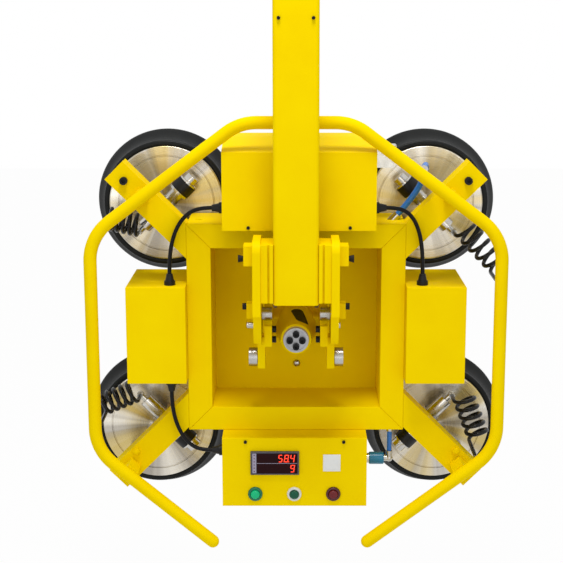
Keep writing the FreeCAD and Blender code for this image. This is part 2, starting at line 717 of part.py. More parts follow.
def member(outer, inner, cavity):
    points = [V(x, 0, z) for x, z in outer + inner]
    return prism(points, AWAY * FRAME_DEPTH).cut(cavity)


far = FRAME_DEPTH - FRAME_WALL
frame_top = member([(-frame_x, frame_z), (frame_x, frame_z)], [(inner_x, inner_z), (-inner_x, inner_z)],
                   box(-frame_x, frame_x, FRAME_WALL, far, inner_z + FRAME_WALL, frame_z - FRAME_WALL))
frame_bottom = member([(-frame_x, -frame_z), (frame_x, -frame_z)],
                      [(inner_x, -inner_z), (-inner_x, -inner_z)],
                      box(-frame_x, frame_x, FRAME_WALL, far, -frame_z + FRAME_WALL, -inner_z - FRAME_WALL))
frame_left = member([(-frame_x, -frame_z), (-frame_x, frame_z)],
                    [(-inner_x, inner_z), (-inner_x, -inner_z)],
                    box(-frame_x + FRAME_WALL, -inner_x - FRAME_WALL, FRAME_WALL, far, -frame_z, frame_z))
frame_right = member([(frame_x, -frame_z), (frame_x, frame_z)], [(inner_x, inner_z), (inner_x, -inner_z)],
                     box(inner_x + FRAME_WALL, frame_x - FRAME_WALL, FRAME_WALL, far, -frame_z, frame_z))
for side in SIDES:
    hole_at = V(side * tube_hole_x, TUBE_HOLE_BEHIND_FACE, frame_z - FRAME_WALL - CUT)
    frame_top = frame_top.cut(rod(TUBE_R + FACE_GAP, hole_at, hole_at + UP * (FRAME_WALL + 2 * CUT)))

# Handle bar
handle_points = [
    V(-HANDLE_END_LEFT, handle_y, -HANDLE_END), V(-HANDLE_SIDE, handle_y, -HANDLE_SIDE_FOOT),
    V(-HANDLE_SIDE, handle_y, HANDLE_SIDE_TOP), V(-HANDLE_TOP_HALF, handle_y, HANDLE_TOP),
    V(HANDLE_TOP_HALF, handle_y, HANDLE_TOP), V(HANDLE_SIDE, handle_y, HANDLE_SIDE_TOP),
    V(HANDLE_SIDE, handle_y, -HANDLE_SIDE_FOOT), V(HANDLE_END_RIGHT, handle_y, -HANDLE_END),
]


def handle_reach(points, i):
    turn = math.pi - (points[i - 1] - points[i]).getAngle(points[i + 1] - points[i])
    return HANDLE_BEND_R * math.tan(turn / 2)


handle_path, handle_radii = rounded_path(handle_points, handle_reach)
handle_start = handle_points[0]
handle_way = handle_points[1] - handle_points[0]
handle_solid = swept(handle_path, handle_start, handle_way, HANDLE_R)
handle_bore = swept(handle_path, handle_start, handle_way, HANDLE_R - HANDLE_WALL)
handle_ends = (handle_points[0], handle_points[-1])
handle_caps = [Part.makeSphere(HANDLE_R, end).cut(handle_bore) for end in handle_ends]
handle_bar = handle_solid.cut(handle_bore).fuse(handle_caps)
print("handle volume", round(handle_bar.Volume), "bend radii", [round(r, 1) for r in handle_radii])

# Arms, posts, pad mounts, pad plates, seals and valves
arm_lean = math.radians(ARM_ANGLE)
frame_block = box(-frame_x, frame_x, 0, FRAME_DEPTH, -frame_z, frame_z)
plate_back = PAD_PLATE_FRONT + PAD_PLATE_THICK
lip_plane = plate_back + SEAL_DEPTH
arms = []
posts = []
mounts = []
plates = []
seals = {}
valves = []
slides = {}
valve_ends = {}
post_places = {}


def pad_frame_of(side, level):
    """Pad centre, the way along its arm and the way across it, in the plane of the frame."""
    x = frame_x + (PAD_OUT_UPPER if level > 0 else PAD_OUT_LOWER)
    z = frame_z + (PAD_RISE_UPPER if level > 0 else PAD_DROP_LOWER)
    centre = V(side * x, 0, level * z)
    along = V(side * math.cos(arm_lean), 0, level * math.sin(arm_lean))
    across = V(side * math.sin(arm_lean), 0, -level * math.cos(arm_lean))
    return centre, along, across


def handle_slant(side, level):
    """The handle's slanting run that crosses an arm: its end by the middle and its corner."""
    if level > 0:
        return V(side * HANDLE_TOP_HALF, 0, HANDLE_TOP), V(side * HANDLE_SIDE, 0, HANDLE_SIDE_TOP)
    end_x = HANDLE_END_RIGHT if side > 0 else HANDLE_END_LEFT
    return V(side * end_x, 0, -HANDLE_END), V(side * HANDLE_SIDE, 0, -HANDLE_SIDE_FOOT)


def post_distance(side, level):
    """How far along the arm from the pad's centre the handle crosses it."""
    centre, along, across = pad_frame_of(side, level)
    near, corner = handle_slant(side, level)
    run = corner - near
    away = near - centre
    return (away.z * run.x - away.x * run.z) / (along.z * run.x - along.x * run.z)


def slab(centre, along, across, span, half_width, front, back):
    low, high = span
    points = []
    for a, b in ((low, -half_width), (low, half_width), (high, half_width), (high, -half_width)):
        points.append(centre + along * a + across * b + AWAY * front)
    return prism(points, AWAY * (back - front))


def pad_plate(centre):
    groove_out = PAD_GROOVE_R + PAD_GROOVE_WIDTH
    groove_floor = PAD_PLATE_FRONT + PAD_GROOVE_DEPTH
    rim = PAD_PLATE_R - PAD_RIM_BEVEL
    return turned([(0, PAD_PLATE_FRONT), (PAD_GROOVE_R, PAD_PLATE_FRONT), (PAD_GROOVE_R, groove_floor),
                   (groove_out, groove_floor), (groove_out, PAD_PLATE_FRONT),
                   (rim, PAD_PLATE_FRONT), (PAD_PLATE_R, PAD_PLATE_FRONT + PAD_RIM_BEVEL),
                   (PAD_PLATE_R, plate_back), (0, plate_back)], centre)


def pad_seal(centre):
    """The rubber ring: a band round the plate's rim, a ledge behind it and a flared lip."""
    inner = PAD_PLATE_R + RUN_GAP
    band = PAD_PLATE_R + SEAL_BAND
    band_front = PAD_PLATE_FRONT + SEAL_STEP
    ledge = PAD_PLATE_R - SEAL_LEDGE
    seat = plate_back + RUN_GAP
    lip_in = SEAL_R - SEAL_LIP
    return turned([(inner, band_front), (band - SEAL_STEP, band_front), (band, band_front + SEAL_STEP),
                   (band, plate_back + SEAL_STEP), (SEAL_R - 2 * SEAL_STEP, lip_plane - 2 * SEAL_SKIRT),
                   (SEAL_R, lip_plane - SEAL_STEP), (SEAL_R, lip_plane), (lip_in, lip_plane),
                   (lip_in - SEAL_STEP, lip_plane - SEAL_LEDGE), (ledge + SEAL_SKIRT, seat + SEAL_SKIRT),
                   (ledge, seat + SEAL_SKIRT), (ledge, seat), (inner, seat)], centre)


for name, side, level in PADS:
    centre, along, across = pad_frame_of(side, level)
    post_at = post_distance(side, level)
    reach = post_at + (ARM_PAST_POST_UPPER if level > 0 else ARM_PAST_POST_LOWER)
    bolt_in = ARM_BOLT_IN_UPPER if level > 0 else ARM_BOLT_IN_LOWER
    inner_end = -centre.Length
    arm = slab(centre, along, across, (inner_end, reach), ARM_WIDTH / 2, ARM_FRONT, arm_back)
    arm = arm.cut(slab(centre, along, across, (inner_end, reach - ARM_WALL), ARM_WIDTH / 2 - ARM_WALL,
                       ARM_FRONT + ARM_WALL, arm_back - ARM_WALL))
    arm = arm.cut(frame_block)
    bolt_seat = centre + along * (reach - bolt_in) + AWAY * ARM_FRONT
    arms.append(arm.cut(screw_hole(bolt_seat, -AWAY, ARM_BOLT_R, ARM_WIDTH)))
    frame_screws.append(cap_screw(bolt_seat, -AWAY, ARM_BOLT_R, ARM_WIDTH))
    post_places[name] = centre + along * post_at
    half_post = POST_SIDE / 2
    post = slab(post_places[name], along, across, (-half_post, half_post), half_post,
                handle_y + HANDLE_R - POST_HUG, ARM_FRONT)
    posts.append(post.cut(handle_solid))
    shift = 0.0 if level > 0 else -VALVE_SHIFT_LOWER
    for step in (-1, 1) if level > 0 else (1, 2):
        mount_at = centre + along * (shift + step * MOUNT_FROM_VALVE)
        mounts.append(rod(MOUNT_R, mount_at + AWAY * arm_back, mount_at + AWAY * PAD_PLATE_FRONT))
    plates.append(pad_plate(centre))
    seals[name] = pad_seal(centre)
    valve_at = centre + along * shift
    middle = valve_at + AWAY * valve_y
    hose_end = middle + across * VALVE_HOSE_END
    body = rod(VALVE_R, hose_end, middle - across * valve_free_end)
    half_saddle = VALVE_SADDLE_LENGTH / 2
    saddle = slab(valve_at, along, across, (-half_saddle, half_saddle), VALVE_SADDLE_WIDTH / 2, valve_y,
                  PAD_PLATE_FRONT)
    valves.append(fused([body, saddle]))
    slide_from = middle - across * SLIDE_START
    slide_to = slide_from - across * SLIDE_LENGTH
    slide = rod(VALVE_R + SLIDE_WALL, slide_from, slide_to)
    slides[name] = slide.cut(rod(VALVE_R + RUN_GAP, slide_from + across, slide_to - across))
    valve_ends[name] = hose_end

# Pump cover and pump
pump_left = PUMP_SHIFT - PUMP_WIDTH / 2
pump_right = PUMP_SHIFT + PUMP_WIDTH / 2
pump_foot = frame_z - PUMP_SKIRT
pump_shoulder = pump_foot + PUMP_FRONT_HEIGHT
pump_top = pump_shoulder + PUMP_SLOPE_RISE
pump_front = -PUMP_BEFORE_FACE
slope_back = pump_front + PUMP_SLOPE_RUN


def pump_profile(x, skin, foot):
    lift = skin * 0.5
    return [
        V(x, pump_front + skin, foot), V(x, pump_front + skin, pump_shoulder - lift),
        V(x, slope_back + lift, pump_top - skin), V(x, PUMP_BEHIND_FACE - skin, pump_top - skin),
        V(x, PUMP_BEHIND_FACE - skin, frame_z), V(x, 0, frame_z), V(x, 0, foot),
    ]


pump_cover = prism(pump_profile(pump_left, 0, pump_foot), RIGHT * PUMP_WIDTH)
pump_cover = pump_cover.cut(prism(pump_profile(pump_left + SHEET, SHEET, pump_foot),
                                  RIGHT * (PUMP_WIDTH - 2 * SHEET)))
pump_screw_z = pump_foot + 3 * SMALL_SCREW_R
pump_seats = [V(PUMP_SHIFT + s * PANEL_SCREW_HALF, pump_front, pump_screw_z) for s in SIDES]
for seat in pump_seats:
    pump_cover = pump_cover.cut(screw_hole(seat, -AWAY, SMALL_SCREW_R, SHEET))
    frame_screws.append(cap_screw(seat, -AWAY, SMALL_SCREW_R, SHEET))
pump_y = (pump_front + PUMP_BEHIND_FACE) / 2 + PUMP_SKIRT
motor_z = frame_z + PUMP_HEAD / 2
head_right = PUMP_SHIFT
pump_head = box(head_right - PUMP_HEAD, head_right, pump_y - PUMP_HEAD / 2, pump_y + PUMP_HEAD / 2,
                frame_z, frame_z + PUMP_HEAD)
motor_right = head_right + PUMP_MOTOR_LENGTH
motor = rod(PUMP_MOTOR_R, V(head_right, pump_y, motor_z), V(motor_right, pump_y, motor_z))
motor_foot = box(head_right, motor_right, pump_y - PUMP_MOTOR_R / 2, pump_y + PUMP_MOTOR_R / 2,
                 frame_z, motor_z)
vacuum_pump = fused([pump_head, motor, motor_foot])

# Battery boxes, lids and batteries
battery_front = -BATTERY_BEFORE_FACE
battery_boxes = []
battery_lids = []
batteries = []
glands = []
battery_gland_x = frame_x + BATTERY_GLAND_FROM_FRAME


def gland(seat, out):
    """A cable gland: a nut on the wall and a tapering dome round the cord."""
    nut_face = seat + out * GLAND_NUT
    flange = rod(GLAND_R, seat, nut_face)
    dome = Part.makeCone(GLAND_R - GLAND_STEP, LEAD_R + GLAND_STEP, GLAND_LENGTH - GLAND_NUT, nut_face, out)
    return fused([flange, dome])


for side in SIDES:
    wall_in = side * frame_x
    wall_out = side * (frame_x + BATTERY_BOX_WIDTH)
    lid_back = battery_front + SHEET
    shell = box(wall_in, wall_out, lid_back, FRAME_DEPTH, -BATTERY_BOX_FOOT, BATTERY_BOX_TOP)
    shell = shell.cut(box(wall_in + side * SHEET, wall_out - side * SHEET, lid_back - CUT,
                          FRAME_DEPTH - SHEET, -BATTERY_BOX_FOOT + SHEET, BATTERY_BOX_TOP - SHEET))
    battery_boxes.append(shell)
    battery_lids.append(box(wall_in, wall_out, battery_front, lid_back, -BATTERY_BOX_FOOT, BATTERY_BOX_TOP))
    batteries.append(box(wall_in + side * (SHEET + BATTERY_GAP), wall_out - side * (SHEET + BATTERY_GAP),
                         lid_back + BATTERY_GAP, FRAME_DEPTH - SHEET - BATTERY_GAP,
                         -BATTERY_BOX_FOOT + SHEET, BATTERY_BOX_TOP - SHEET - BATTERY_GAP))
    glands.append(gland(V(side * battery_gland_x, lead_y, BATTERY_BOX_TOP), UP))

# Control box, panel, meter and buttons
control_left = CONTROL_SHIFT - CONTROL_WIDTH / 2
control_right = CONTROL_SHIFT + CONTROL_WIDTH / 2
control_top = -frame_z
control_foot = control_top - CONTROL_HEIGHT
control_front = -CONTROL_BEFORE_FACE
panel_back = control_front + CONTROL_PANEL
control_back = control_front + CONTROL_DEPTH
control_box = box(control_left, control_right, panel_back, control_back, control_foot, control_top)
control_box = control_box.cut(box(control_left + SHEET, control_right - SHEET, panel_back - CUT,
                                  control_back - SHEET, control_foot + SHEET, control_top - SHEET))
control_panel = box(control_left, control_right, control_front, panel_back, control_foot, control_top)
panel_edges = edges_along(control_panel, RIGHT, AWAY * control_front)
control_panel = control_panel.makeFillet(CONTROL_PANEL * 0.8, panel_edges)
meter_x = control_left + METER_FROM_LEFT
meter_z = control_top - METER_DROP
cutout_x = METER_WIDTH / 2 - METER_LEDGE
cutout_z = METER_HEIGHT / 2 - METER_LEDGE
bezel_front = control_front - METER_BEZEL
control_panel = control_panel.cut(box(meter_x - cutout_x, meter_x + cutout_x, control_front - CUT,
                                      panel_back + CUT, meter_z - cutout_z, meter_z + cutout_z))
meter_bezel = box(meter_x - METER_WIDTH / 2, meter_x + METER_WIDTH / 2, bezel_front, control_front,
                  meter_z - METER_HEIGHT / 2, meter_z + METER_HEIGHT / 2)
bezel_rim = [e for way in (RIGHT, UP) for e in edges_along(meter_bezel, way, AWAY * bezel_front)]
meter_bezel = meter_bezel.makeChamfer(BEVEL, bezel_rim)
window = box(meter_x - cutout_x, meter_x + cutout_x, bezel_front, bezel_front + METER_RECESS,
             meter_z - cutout_z, meter_z + cutout_z)
body_x = cutout_x - RUN_GAP
body_z = cutout_z - RUN_GAP
meter_body = box(meter_x - body_x, meter_x + body_x, control_front, control_front + METER_BODY_DEPTH,
                 meter_z - body_z, meter_z + body_z)
panel_meter = fused([meter_bezel.cut(window), meter_body])
button_z = control_foot + BUTTON_RISE
bezels = []
buttons = {}
for i, name in enumerate(("green", "white", "red")):
    at = V(control_left + BUTTON_FROM_LEFT + i * BUTTON_SPACING, control_front, button_z)
    flange_front = at - AWAY * BUTTON_BEZEL_THICK
    barrel_back = at + AWAY * (CONTROL_PANEL + BUTTON_BARREL)
    panel_hole = rod(BUTTON_R + RUN_GAP, at - AWAY * CUT, at + AWAY * (CONTROL_PANEL + CUT))
    control_panel = control_panel.cut(panel_hole)
    flange = Part.makeCone(BUTTON_BEZEL_R - BEVEL, BUTTON_BEZEL_R, BUTTON_BEZEL_THICK, flange_front, AWAY)
    barrel = rod(BUTTON_R, at, barrel_back)
    stem_r = BUTTON_R - BUTTON_WALL
    bore = rod(stem_r + BUTTON_GAP, flange_front - AWAY * CUT, barrel_back + AWAY * CUT)
    bezels.append(fused([flange, barrel]).cut(bore))
    cap_front = control_front - BUTTON_OUT
    cap = rod(stem_r, V(at.x, cap_front, at.z), at + AWAY * BUTTON_STEM)
    front_edge = [e for e in round_edges(cap) if e.Vertexes[0].Y < control_front - BUTTON_OUT / 2]
    buttons[name] = cap.makeFillet(BUTTON_EDGE_R, front_edge)
panel_screw_z = control_top - PANEL_SCREW_DROP
panel_seats = [V(CONTROL_SHIFT + s * PANEL_SCREW_HALF, control_front, panel_screw_z) for s in SIDES]
for seat in panel_seats:
    control_panel = control_panel.cut(screw_hole(seat, -AWAY, SMALL_SCREW_R, CONTROL_PANEL))
    frame_screws.append(cap_screw(seat, -AWAY, SMALL_SCREW_R, CONTROL_PANEL))

# Coupler and the short straight tube that rises from it to the frame
coupler_y = (control_front + control_back) / 2 + COUPLER_R
coupler_z = control_top - COUPLER_DROP
nut_from = V(control_right, coupler_y, coupler_z)
coupler_from = nut_from + RIGHT * COUPLER_NUT
coupler_to = coupler_from + RIGHT * COUPLER_LENGTH
coupler_nut = rod(COUPLER_R * 0.8, nut_from, coupler_from)
sensor_coupler = rod(COUPLER_R, coupler_from, coupler_to)
sensor_coupler = sensor_coupler.makeChamfer(BEVEL, round_edges(sensor_coupler))
elbow_run = FITTING_R * 1.4
sensor_elbow = elbow(coupler_to, RIGHT, elbow_run, UP, 2 * FITTING_R, FITTING_R * 0.8)
sensor_from = coupler_to + RIGHT * elbow_run + UP * 2 * FITTING_R
sensor_top = V(sensor_from.x, sensor_from.y, control_top)
sensor_end = sensor_top - UP * FITTING_R
sensor_tube = rod(SENSOR_TUBE_R, sensor_from, sensor_end)
fittings = [coupler_nut, sensor_elbow, rod(FITTING_R * 0.9, sensor_end, sensor_top)]

# Vacuum filter on the pump cover's right wall
filter_foot = frame_z + FILTER_RISE
filter_to = filter_foot + FILTER_HEIGHT
filter_back = FILTER_BEHIND_FACE + FILTER_DEPTH
filter_right = pump_right + FILTER_OUT
filter_body = box(pump_right, filter_right - FILTER_LIP, FILTER_BEHIND_FACE + FILTER_LIP,
                  filter_back - FILTER_LIP, filter_foot, filter_to)
filter_cap = box(pump_right, filter_right, FILTER_BEHIND_FACE, filter_back, filter_to, filter_to + FILTER_CAP)
fittings.append(fused([filter_body, filter_cap]))

# Blue tube that leans out of the frame's top and dips into the handle's back
lean = math.radians(TUBE_LEAN)
dip = math.radians(TUBE_DIP)
tube_out = RIGHT * math.sin(lean) + UP * math.cos(lean)
tube_hole = V(tube_hole_x, TUBE_HOLE_BEHIND_FACE, frame_z)
tube_from = tube_hole + tube_out * TUBE_SOCKET
socket_r = TUBE_R + TUBE_SOCKET_RIM
socket = rod(socket_r, tube_hole - tube_out * TUBE_SOCKET, tube_from)
above_frame = box(0, frame_x + 2 * TUBE_SOCKET, 0, FRAME_DEPTH, frame_z, frame_z + 2 * TUBE_SOCKET)
fittings.append(socket.common(above_frame))
top_corner, side_corner = handle_slant(1, 1)
slant = (side_corner - top_corner).normalize()
tube_into = slant.cross(AWAY) * -math.sin(dip) - AWAY * math.cos(dip)
tube_meet = top_corner + slant * TUBE_ALONG_SLANT + AWAY * handle_y
tube_end = tube_meet - tube_into * (HANDLE_R + TUBE_STUB)
fittings.append(rod(socket_r, tube_meet, tube_end).cut(handle_solid))
tube_bends = (TUBE_BEND_FROM_FRAME, TUBE_BEND_TO_HANDLE)
tube_route = route(tube_from, tube_out, tube_end, tube_into, TUBE_START, tube_bends, LEAD_BENDS)
vacuum_tube = cord("vacuum_tube", tube_route, TUBE_R)

# Leads
leads = {}
pump_bends = (LEAD_BEND_FROM_PUMP, LEAD_BEND_TO_BATTERY)
for name, side, pump_side in (("left", -1, pump_left), ("right", 1, pump_right)):
    out = RIGHT * side
    pump_gland = V(pump_side, lead_y, frame_z + PUMP_GLAND_RISE)
    glands.append(gland(pump_gland, out))
    start = pump_gland + out * GLAND_LENGTH
    end = V(side * battery_gland_x, lead_y, BATTERY_BOX_TOP + GLAND_LENGTH)
    lead_route = route(start, out, end, -UP, LEAD_START, pump_bends, LEAD_BENDS)
    leads[name] = cord("battery_lead_" + name, lead_route, LEAD_R)
low_gland = V(-battery_gland_x, lead_y, -BATTERY_BOX_FOOT)
side_gland = V(control_left, lead_y, control_top - CONTROL_GLAND_DROP)
glands.append(gland(low_gland, -UP))
glands.append(gland(side_gland, -RIGHT))
control_bends = (LEAD_BEND_FROM_BATTERY, LEAD_BEND_TO_CONTROL)
low_end = low_gland - UP * GLAND_LENGTH
side_end = side_gland - RIGHT * GLAND_LENGTH
control_route = route(low_end, -UP, side_end, RIGHT, LEAD_START, control_bends, LEAD_BENDS)
leads["control"] = cord("control_lead", control_route, LEAD_R)


# Coiled hoses between the valves and the back of the handle
def from_post(name, side, level, distance):
    """A place on the handle's slanting run, some way from a post towards the handle's side."""
    near, corner = handle_slant(side, level)
    return post_places[name] + (corner - near).normalize() * distance


def bend_middle(side, level):
    """The middle of the handle's bend between a slanting run and a side."""
    near, corner = handle_slant(side, level)
    slant = (near - corner).normalize()
    upright = -UP * level
    half = slant.getAngle(upright) / 2
    return corner + (slant + upright).normalize() * HANDLE_BEND_R * (1 / math.sin(half) - 1)


hose_meets = {
    "upper_left": bend_middle(-1, 1),
    "upper_right": V(HANDLE_SIDE, 0, HOSE_HEIGHT_UPPER_RIGHT),
    "lower_left": V(-HANDLE_SIDE, 0, -HOSE_DROP_LOWER_LEFT),
    "lower_right": from_post("lower_right", 1, -1, HOSE_FROM_POST_LOWER_RIGHT),
}
hoses = {}
for name, side, level in PADS:
    centre, along, across = pad_frame_of(side, level)
    meet = hose_meets[name] + AWAY * handle_y
    nipple_end = meet + AWAY * (HANDLE_R + 2 * FITTING_R)
    fittings.append(rod(FITTING_R * 0.8, meet, nipple_end).cut(handle_solid))
    stub_run = 2 * FITTING_R
    fittings.append(elbow(valve_ends[name], across, stub_run, -AWAY, stub_run, FITTING_R * 0.8))
    hose_from = valve_ends[name] + across * stub_run - AWAY * stub_run
    line = V(meet.x - hose_from.x, 0, meet.z - hose_from.z).normalize()
    sideways = line.cross(AWAY)
    outward = -across if name in COILS_INWARD else across
    if sideways.dot(outward) < 0:
        sideways = -sideways
    hoses[name] = coil("coil_hose_" + name, hose_from, nipple_end, sideways)

nodes = {
    "mast_tube": mast,
    "hanger_arm": hanger,
    "lifting_lug": lifting_lug,
    "fork_plates": group(fork_plates),
    "fork_blocks": group(fork_blocks),
    "tilt_pins": group(tilt_pins),
    "mast_screws": group(mast_screws),
    "plunger_left": plunger(-1),
    "plunger_right": plunger(1),
    "tilt_lock_pin": lock_pin,
    "hub_housing": housing,
    "hub_bushes": group(bushes),
    "tilt_lugs": group(lugs),
    "head_bosses": group(bosses),
    "head_screws": group(head_screws),
    "frame_top": frame_top,
    "frame_bottom": frame_bottom,
    "frame_left": frame_left,
    "frame_right": frame_right,
    "back_plate": back_plate,
    "spindle": spindle,
    "end_disc": end_disc,
    "frame_screws": group(frame_screws),
    "pad_arms": group(arms),
    "pad_mounts": group(mounts),
    "pad_plates": group(plates),
    "valve_bodies": group(valves),
    "handle_bar": handle_bar,
    "handle_posts": group(posts),
    "pump_cover": pump_cover,
    "vacuum_pump": vacuum_pump,
    "battery_boxes": group(battery_boxes),
    "battery_lids": group(battery_lids),
    "batteries": group(batteries),
    "control_box": control_box,
    "control_panel": control_panel,
    "panel_meter": panel_meter,
    "button_bezels": group(bezels),
    "cable_glands": group(glands),
    "sensor_coupler": sensor_coupler,
    "hose_fittings": group(fittings),
    "vacuum_tubes": group([vacuum_tube, sensor_tube]),
    "battery_lead_left": leads["left"],
    "battery_lead_right": leads["right"],
    "control_lead": leads["control"],
}
for name, shape in buttons.items():
    nodes["button_" + name] = shape
for name, side, level in PADS:
    nodes["pad_seal_" + name] = seals[name]
    nodes["valve_sleeve_" + name] = slides[name]
    nodes["coil_hose_" + name] = hoses[name]

os.makedirs("parts", exist_ok=True)
for name, shape in nodes.items():
    placed = shape.copy()
    placed.translate(-eye)
    if not placed.isValid():
        print("not valid:", name)
    placed.exportStep("parts/" + name + ".step")
print("nodes", len(nodes), "eye", eye)
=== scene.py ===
"""Dresses the glass panel lifter: paint, turned discs, rubber seals, hoses, leads and the control panel."""
import json
import math

import bmesh
import bpy
from bpy.props import FloatProperty, FloatVectorProperty, IntProperty, PointerProperty, StringProperty
from bpy.types import Operator, Panel, PropertyGroup
from mathutils import Matrix, Vector


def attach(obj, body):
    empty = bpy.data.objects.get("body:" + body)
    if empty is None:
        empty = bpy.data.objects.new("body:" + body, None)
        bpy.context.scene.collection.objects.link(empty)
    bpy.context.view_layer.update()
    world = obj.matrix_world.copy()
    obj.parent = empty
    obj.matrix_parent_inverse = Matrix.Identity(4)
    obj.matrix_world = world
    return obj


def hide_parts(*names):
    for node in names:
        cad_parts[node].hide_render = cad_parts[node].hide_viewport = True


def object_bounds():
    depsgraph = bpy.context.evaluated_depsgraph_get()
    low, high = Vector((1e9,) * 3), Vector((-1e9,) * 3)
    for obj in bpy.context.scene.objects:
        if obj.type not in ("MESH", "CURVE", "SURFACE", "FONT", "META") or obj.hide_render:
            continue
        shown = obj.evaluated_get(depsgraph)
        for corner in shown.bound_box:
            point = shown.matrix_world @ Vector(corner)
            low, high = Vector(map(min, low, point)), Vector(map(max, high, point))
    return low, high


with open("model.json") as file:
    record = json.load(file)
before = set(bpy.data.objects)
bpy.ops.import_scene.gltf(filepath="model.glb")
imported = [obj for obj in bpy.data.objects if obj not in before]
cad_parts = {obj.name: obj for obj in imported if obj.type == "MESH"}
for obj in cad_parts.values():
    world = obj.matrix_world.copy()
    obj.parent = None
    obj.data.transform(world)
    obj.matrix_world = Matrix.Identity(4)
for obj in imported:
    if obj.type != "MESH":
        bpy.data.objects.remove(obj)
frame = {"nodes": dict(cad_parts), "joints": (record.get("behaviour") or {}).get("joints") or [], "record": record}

bl_info = {
    "name": "Glass panel lifter",
    "version": (1, 0, 0),
    "blender": (4, 5, 0),
    "location": "3D View > Sidebar > Lifter",
    "description": "Builds the visible pieces of a four-pad vacuum lifter around its solid frame",
    "category": "Object",
}

CAD_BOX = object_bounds()
HUB = Vector(next(joint["pos_m"] for joint in frame["joints"] if joint["name"] == "turn"))
MM = 0.001
AHEAD = Vector((0, -1, 0))
AWAY = Vector((0, 1, 0))
RIGHT = Vector((1, 0, 0))
UP = Vector((0, 0, 1))
SAME_PLACE = 1e-6
PADS = (("upper_left", -1, 1), ("upper_right", 1, 1), ("lower_left", -1, -1), ("lower_right", 1, -1))

# Hub-based places in mm, the same as the solids have
PAD_OUT = {1: 267.0, -1: 293.0}
PAD_UP = {1: 228.0, -1: 246.0}
ARM_LEAN = math.radians(45.0)
PLATE_FRONT = 158.0
PLATE_BACK = 172.0
PLATE_R = 118.0
LIP_PLANE = 222.0
SEAL_R = 148.0
# Moves the painted highlight and shade wedges so that each disc shows its own
DISC_PATTERN_SHIFT = 5.0
VALVE_Y = 124.0
VALVE_SHIFT_LOWER = 30.0
VALVE_HOSE_END = 60.0
SLEEVE_R = 21.5
HANDLE_Y = -60.0
HANDLE_R = 12.5
HANDLE_SIDE = 394.0
HANDLE_TOP_CORNER = (106.0, 411.0)
HANDLE_SIDE_TOP = 194.0
HANDLE_FOOT_CORNER = (142.0, -422.0)
HANDLE_FOOT_LEFT = -166.0
HANDLE_SIDE_FOOT = -231.0
HANDLE_BEND_R = 95.0

# Coiled hoses, in mm
STUB = 16.0
HOSE_R = 4.0
COIL_R = 21.0
COIL_TURNS = 5
COIL_Y = 78.0
COILS_INWARD = ("upper_left",)
POINTS_PER_TURN = 24
HOSE_MEETS_RIGHT_SIDE = 97.0
HOSE_MEETS_LEFT_SIDE = -200.0
HOSE_PAST_POST = 39.0

# Leads, in mm; the pulls shape the bend at its start and end
LEAD_R = 4.0
LEAD_Y = -12.0
LEAD_BENDS = 5
LEAD_STRAIGHT = 16.0
LEAD_PULLS = (42.0, 62.0)
CONTROL_LEAD_PULLS = (54.0, 36.0)
GLAND = 22.0
PUMP_SIDE = {"left": -141.0, "right": 153.0}
PUMP_GLAND_Z = 243.0
BATTERY_X = 247.0
BATTERY_TOP = 91.0
BATTERY_FOOT = -102.0
CONTROL_LEFT = -146.0
CONTROL_GLAND_Z = -247.0

# Blue tubes, in mm
TUBE_R = 6.0
TUBE_HOLE = (193.0, 62.0, 209.0)
TUBE_NOSE = 14.0
TUBE_BARB = 18.0
TUBE_LEAN = math.radians(42.0)
TUBE_DIP = math.radians(18.0)
TUBE_ALONG_SLANT = 165.0
TUBE_STRAIGHT = 20.0
TUBE_PULLS = (76.0, 46.0)
SENSOR_TUBE_AT = (189.2, 20.5)
SENSOR_TUBE_LOW = -259.0
SENSOR_TUBE_HIGH = -217.0

# Control panel, in mm, with its rounded edges in metres
PANEL_Y = -52.0
SCREEN_Y = -57.3
SCREEN_THICK = 0.8
SCREEN_EDGE = 0.0003
METER_X = -42.0
METER_Z = -260.0
METER_HALF_WIDE = 44.6
METER_HALF_HIGH = 20.6
STRIP_WIDE = 8.0
STRIP_GAP = 1.0
RULE_HALF = 0.4
RULE_GAP = 0.7
FINE_EDGE = 0.0001
METER_LAMPS = 6
METER_LAMP_PITCH = 6.6
METER_LAMP_INSET = 4.0
DIGITS_INSET = 5.5
DIGIT_ROWS = {"upper": 10.2, "lower": -10.6}
DIGIT_WIDE = 8.6
DIGIT_HIGH = 15.5
DIGIT_PITCH = 11.8
DIGIT_SLANT = 0.14
STROKE_THICK = 1.7
STROKE_GAP = 0.3
STROKE_PROUD = 0.25
STROKE_SUNK = 0.1
POINT_GAP = 0.4
BARE_PLATE_LOW = (53.5, PANEL_Y - 1.2, -278.0)
BARE_PLATE_HIGH = (88.0, PANEL_Y, -243.0)
BARE_PLATE_EDGE = 0.0005
BUTTON_Z = -325.0
BUTTON_STEPS = 64

# Hub slot and small fixings, in mm
HUB_FRONT = -86.0
HUB_FRONT_R = 29.1
HUB_FLARE = 11.0
SLOT_WIDTH = 24.0
SLOT_LENGTH = 72.0
SLOT_TURN = math.radians(12.0)
SLOT_SHIFT = 12.0
SLOT_FROM = -56.0
SLOT_CLEAR = 0.2
SLOT_SUNK = 0.8
SLOT_DEEP = 3.0
SLOT_CUT_ACROSS = 5.0
SLOT_CUT_ALONG = 6.0
NUT_ALONG_ARM = 25.0
NUT_ACROSS_ARM = 15.5
PLATE_BOLT_AT = (1.5, 138.0, -107.0)

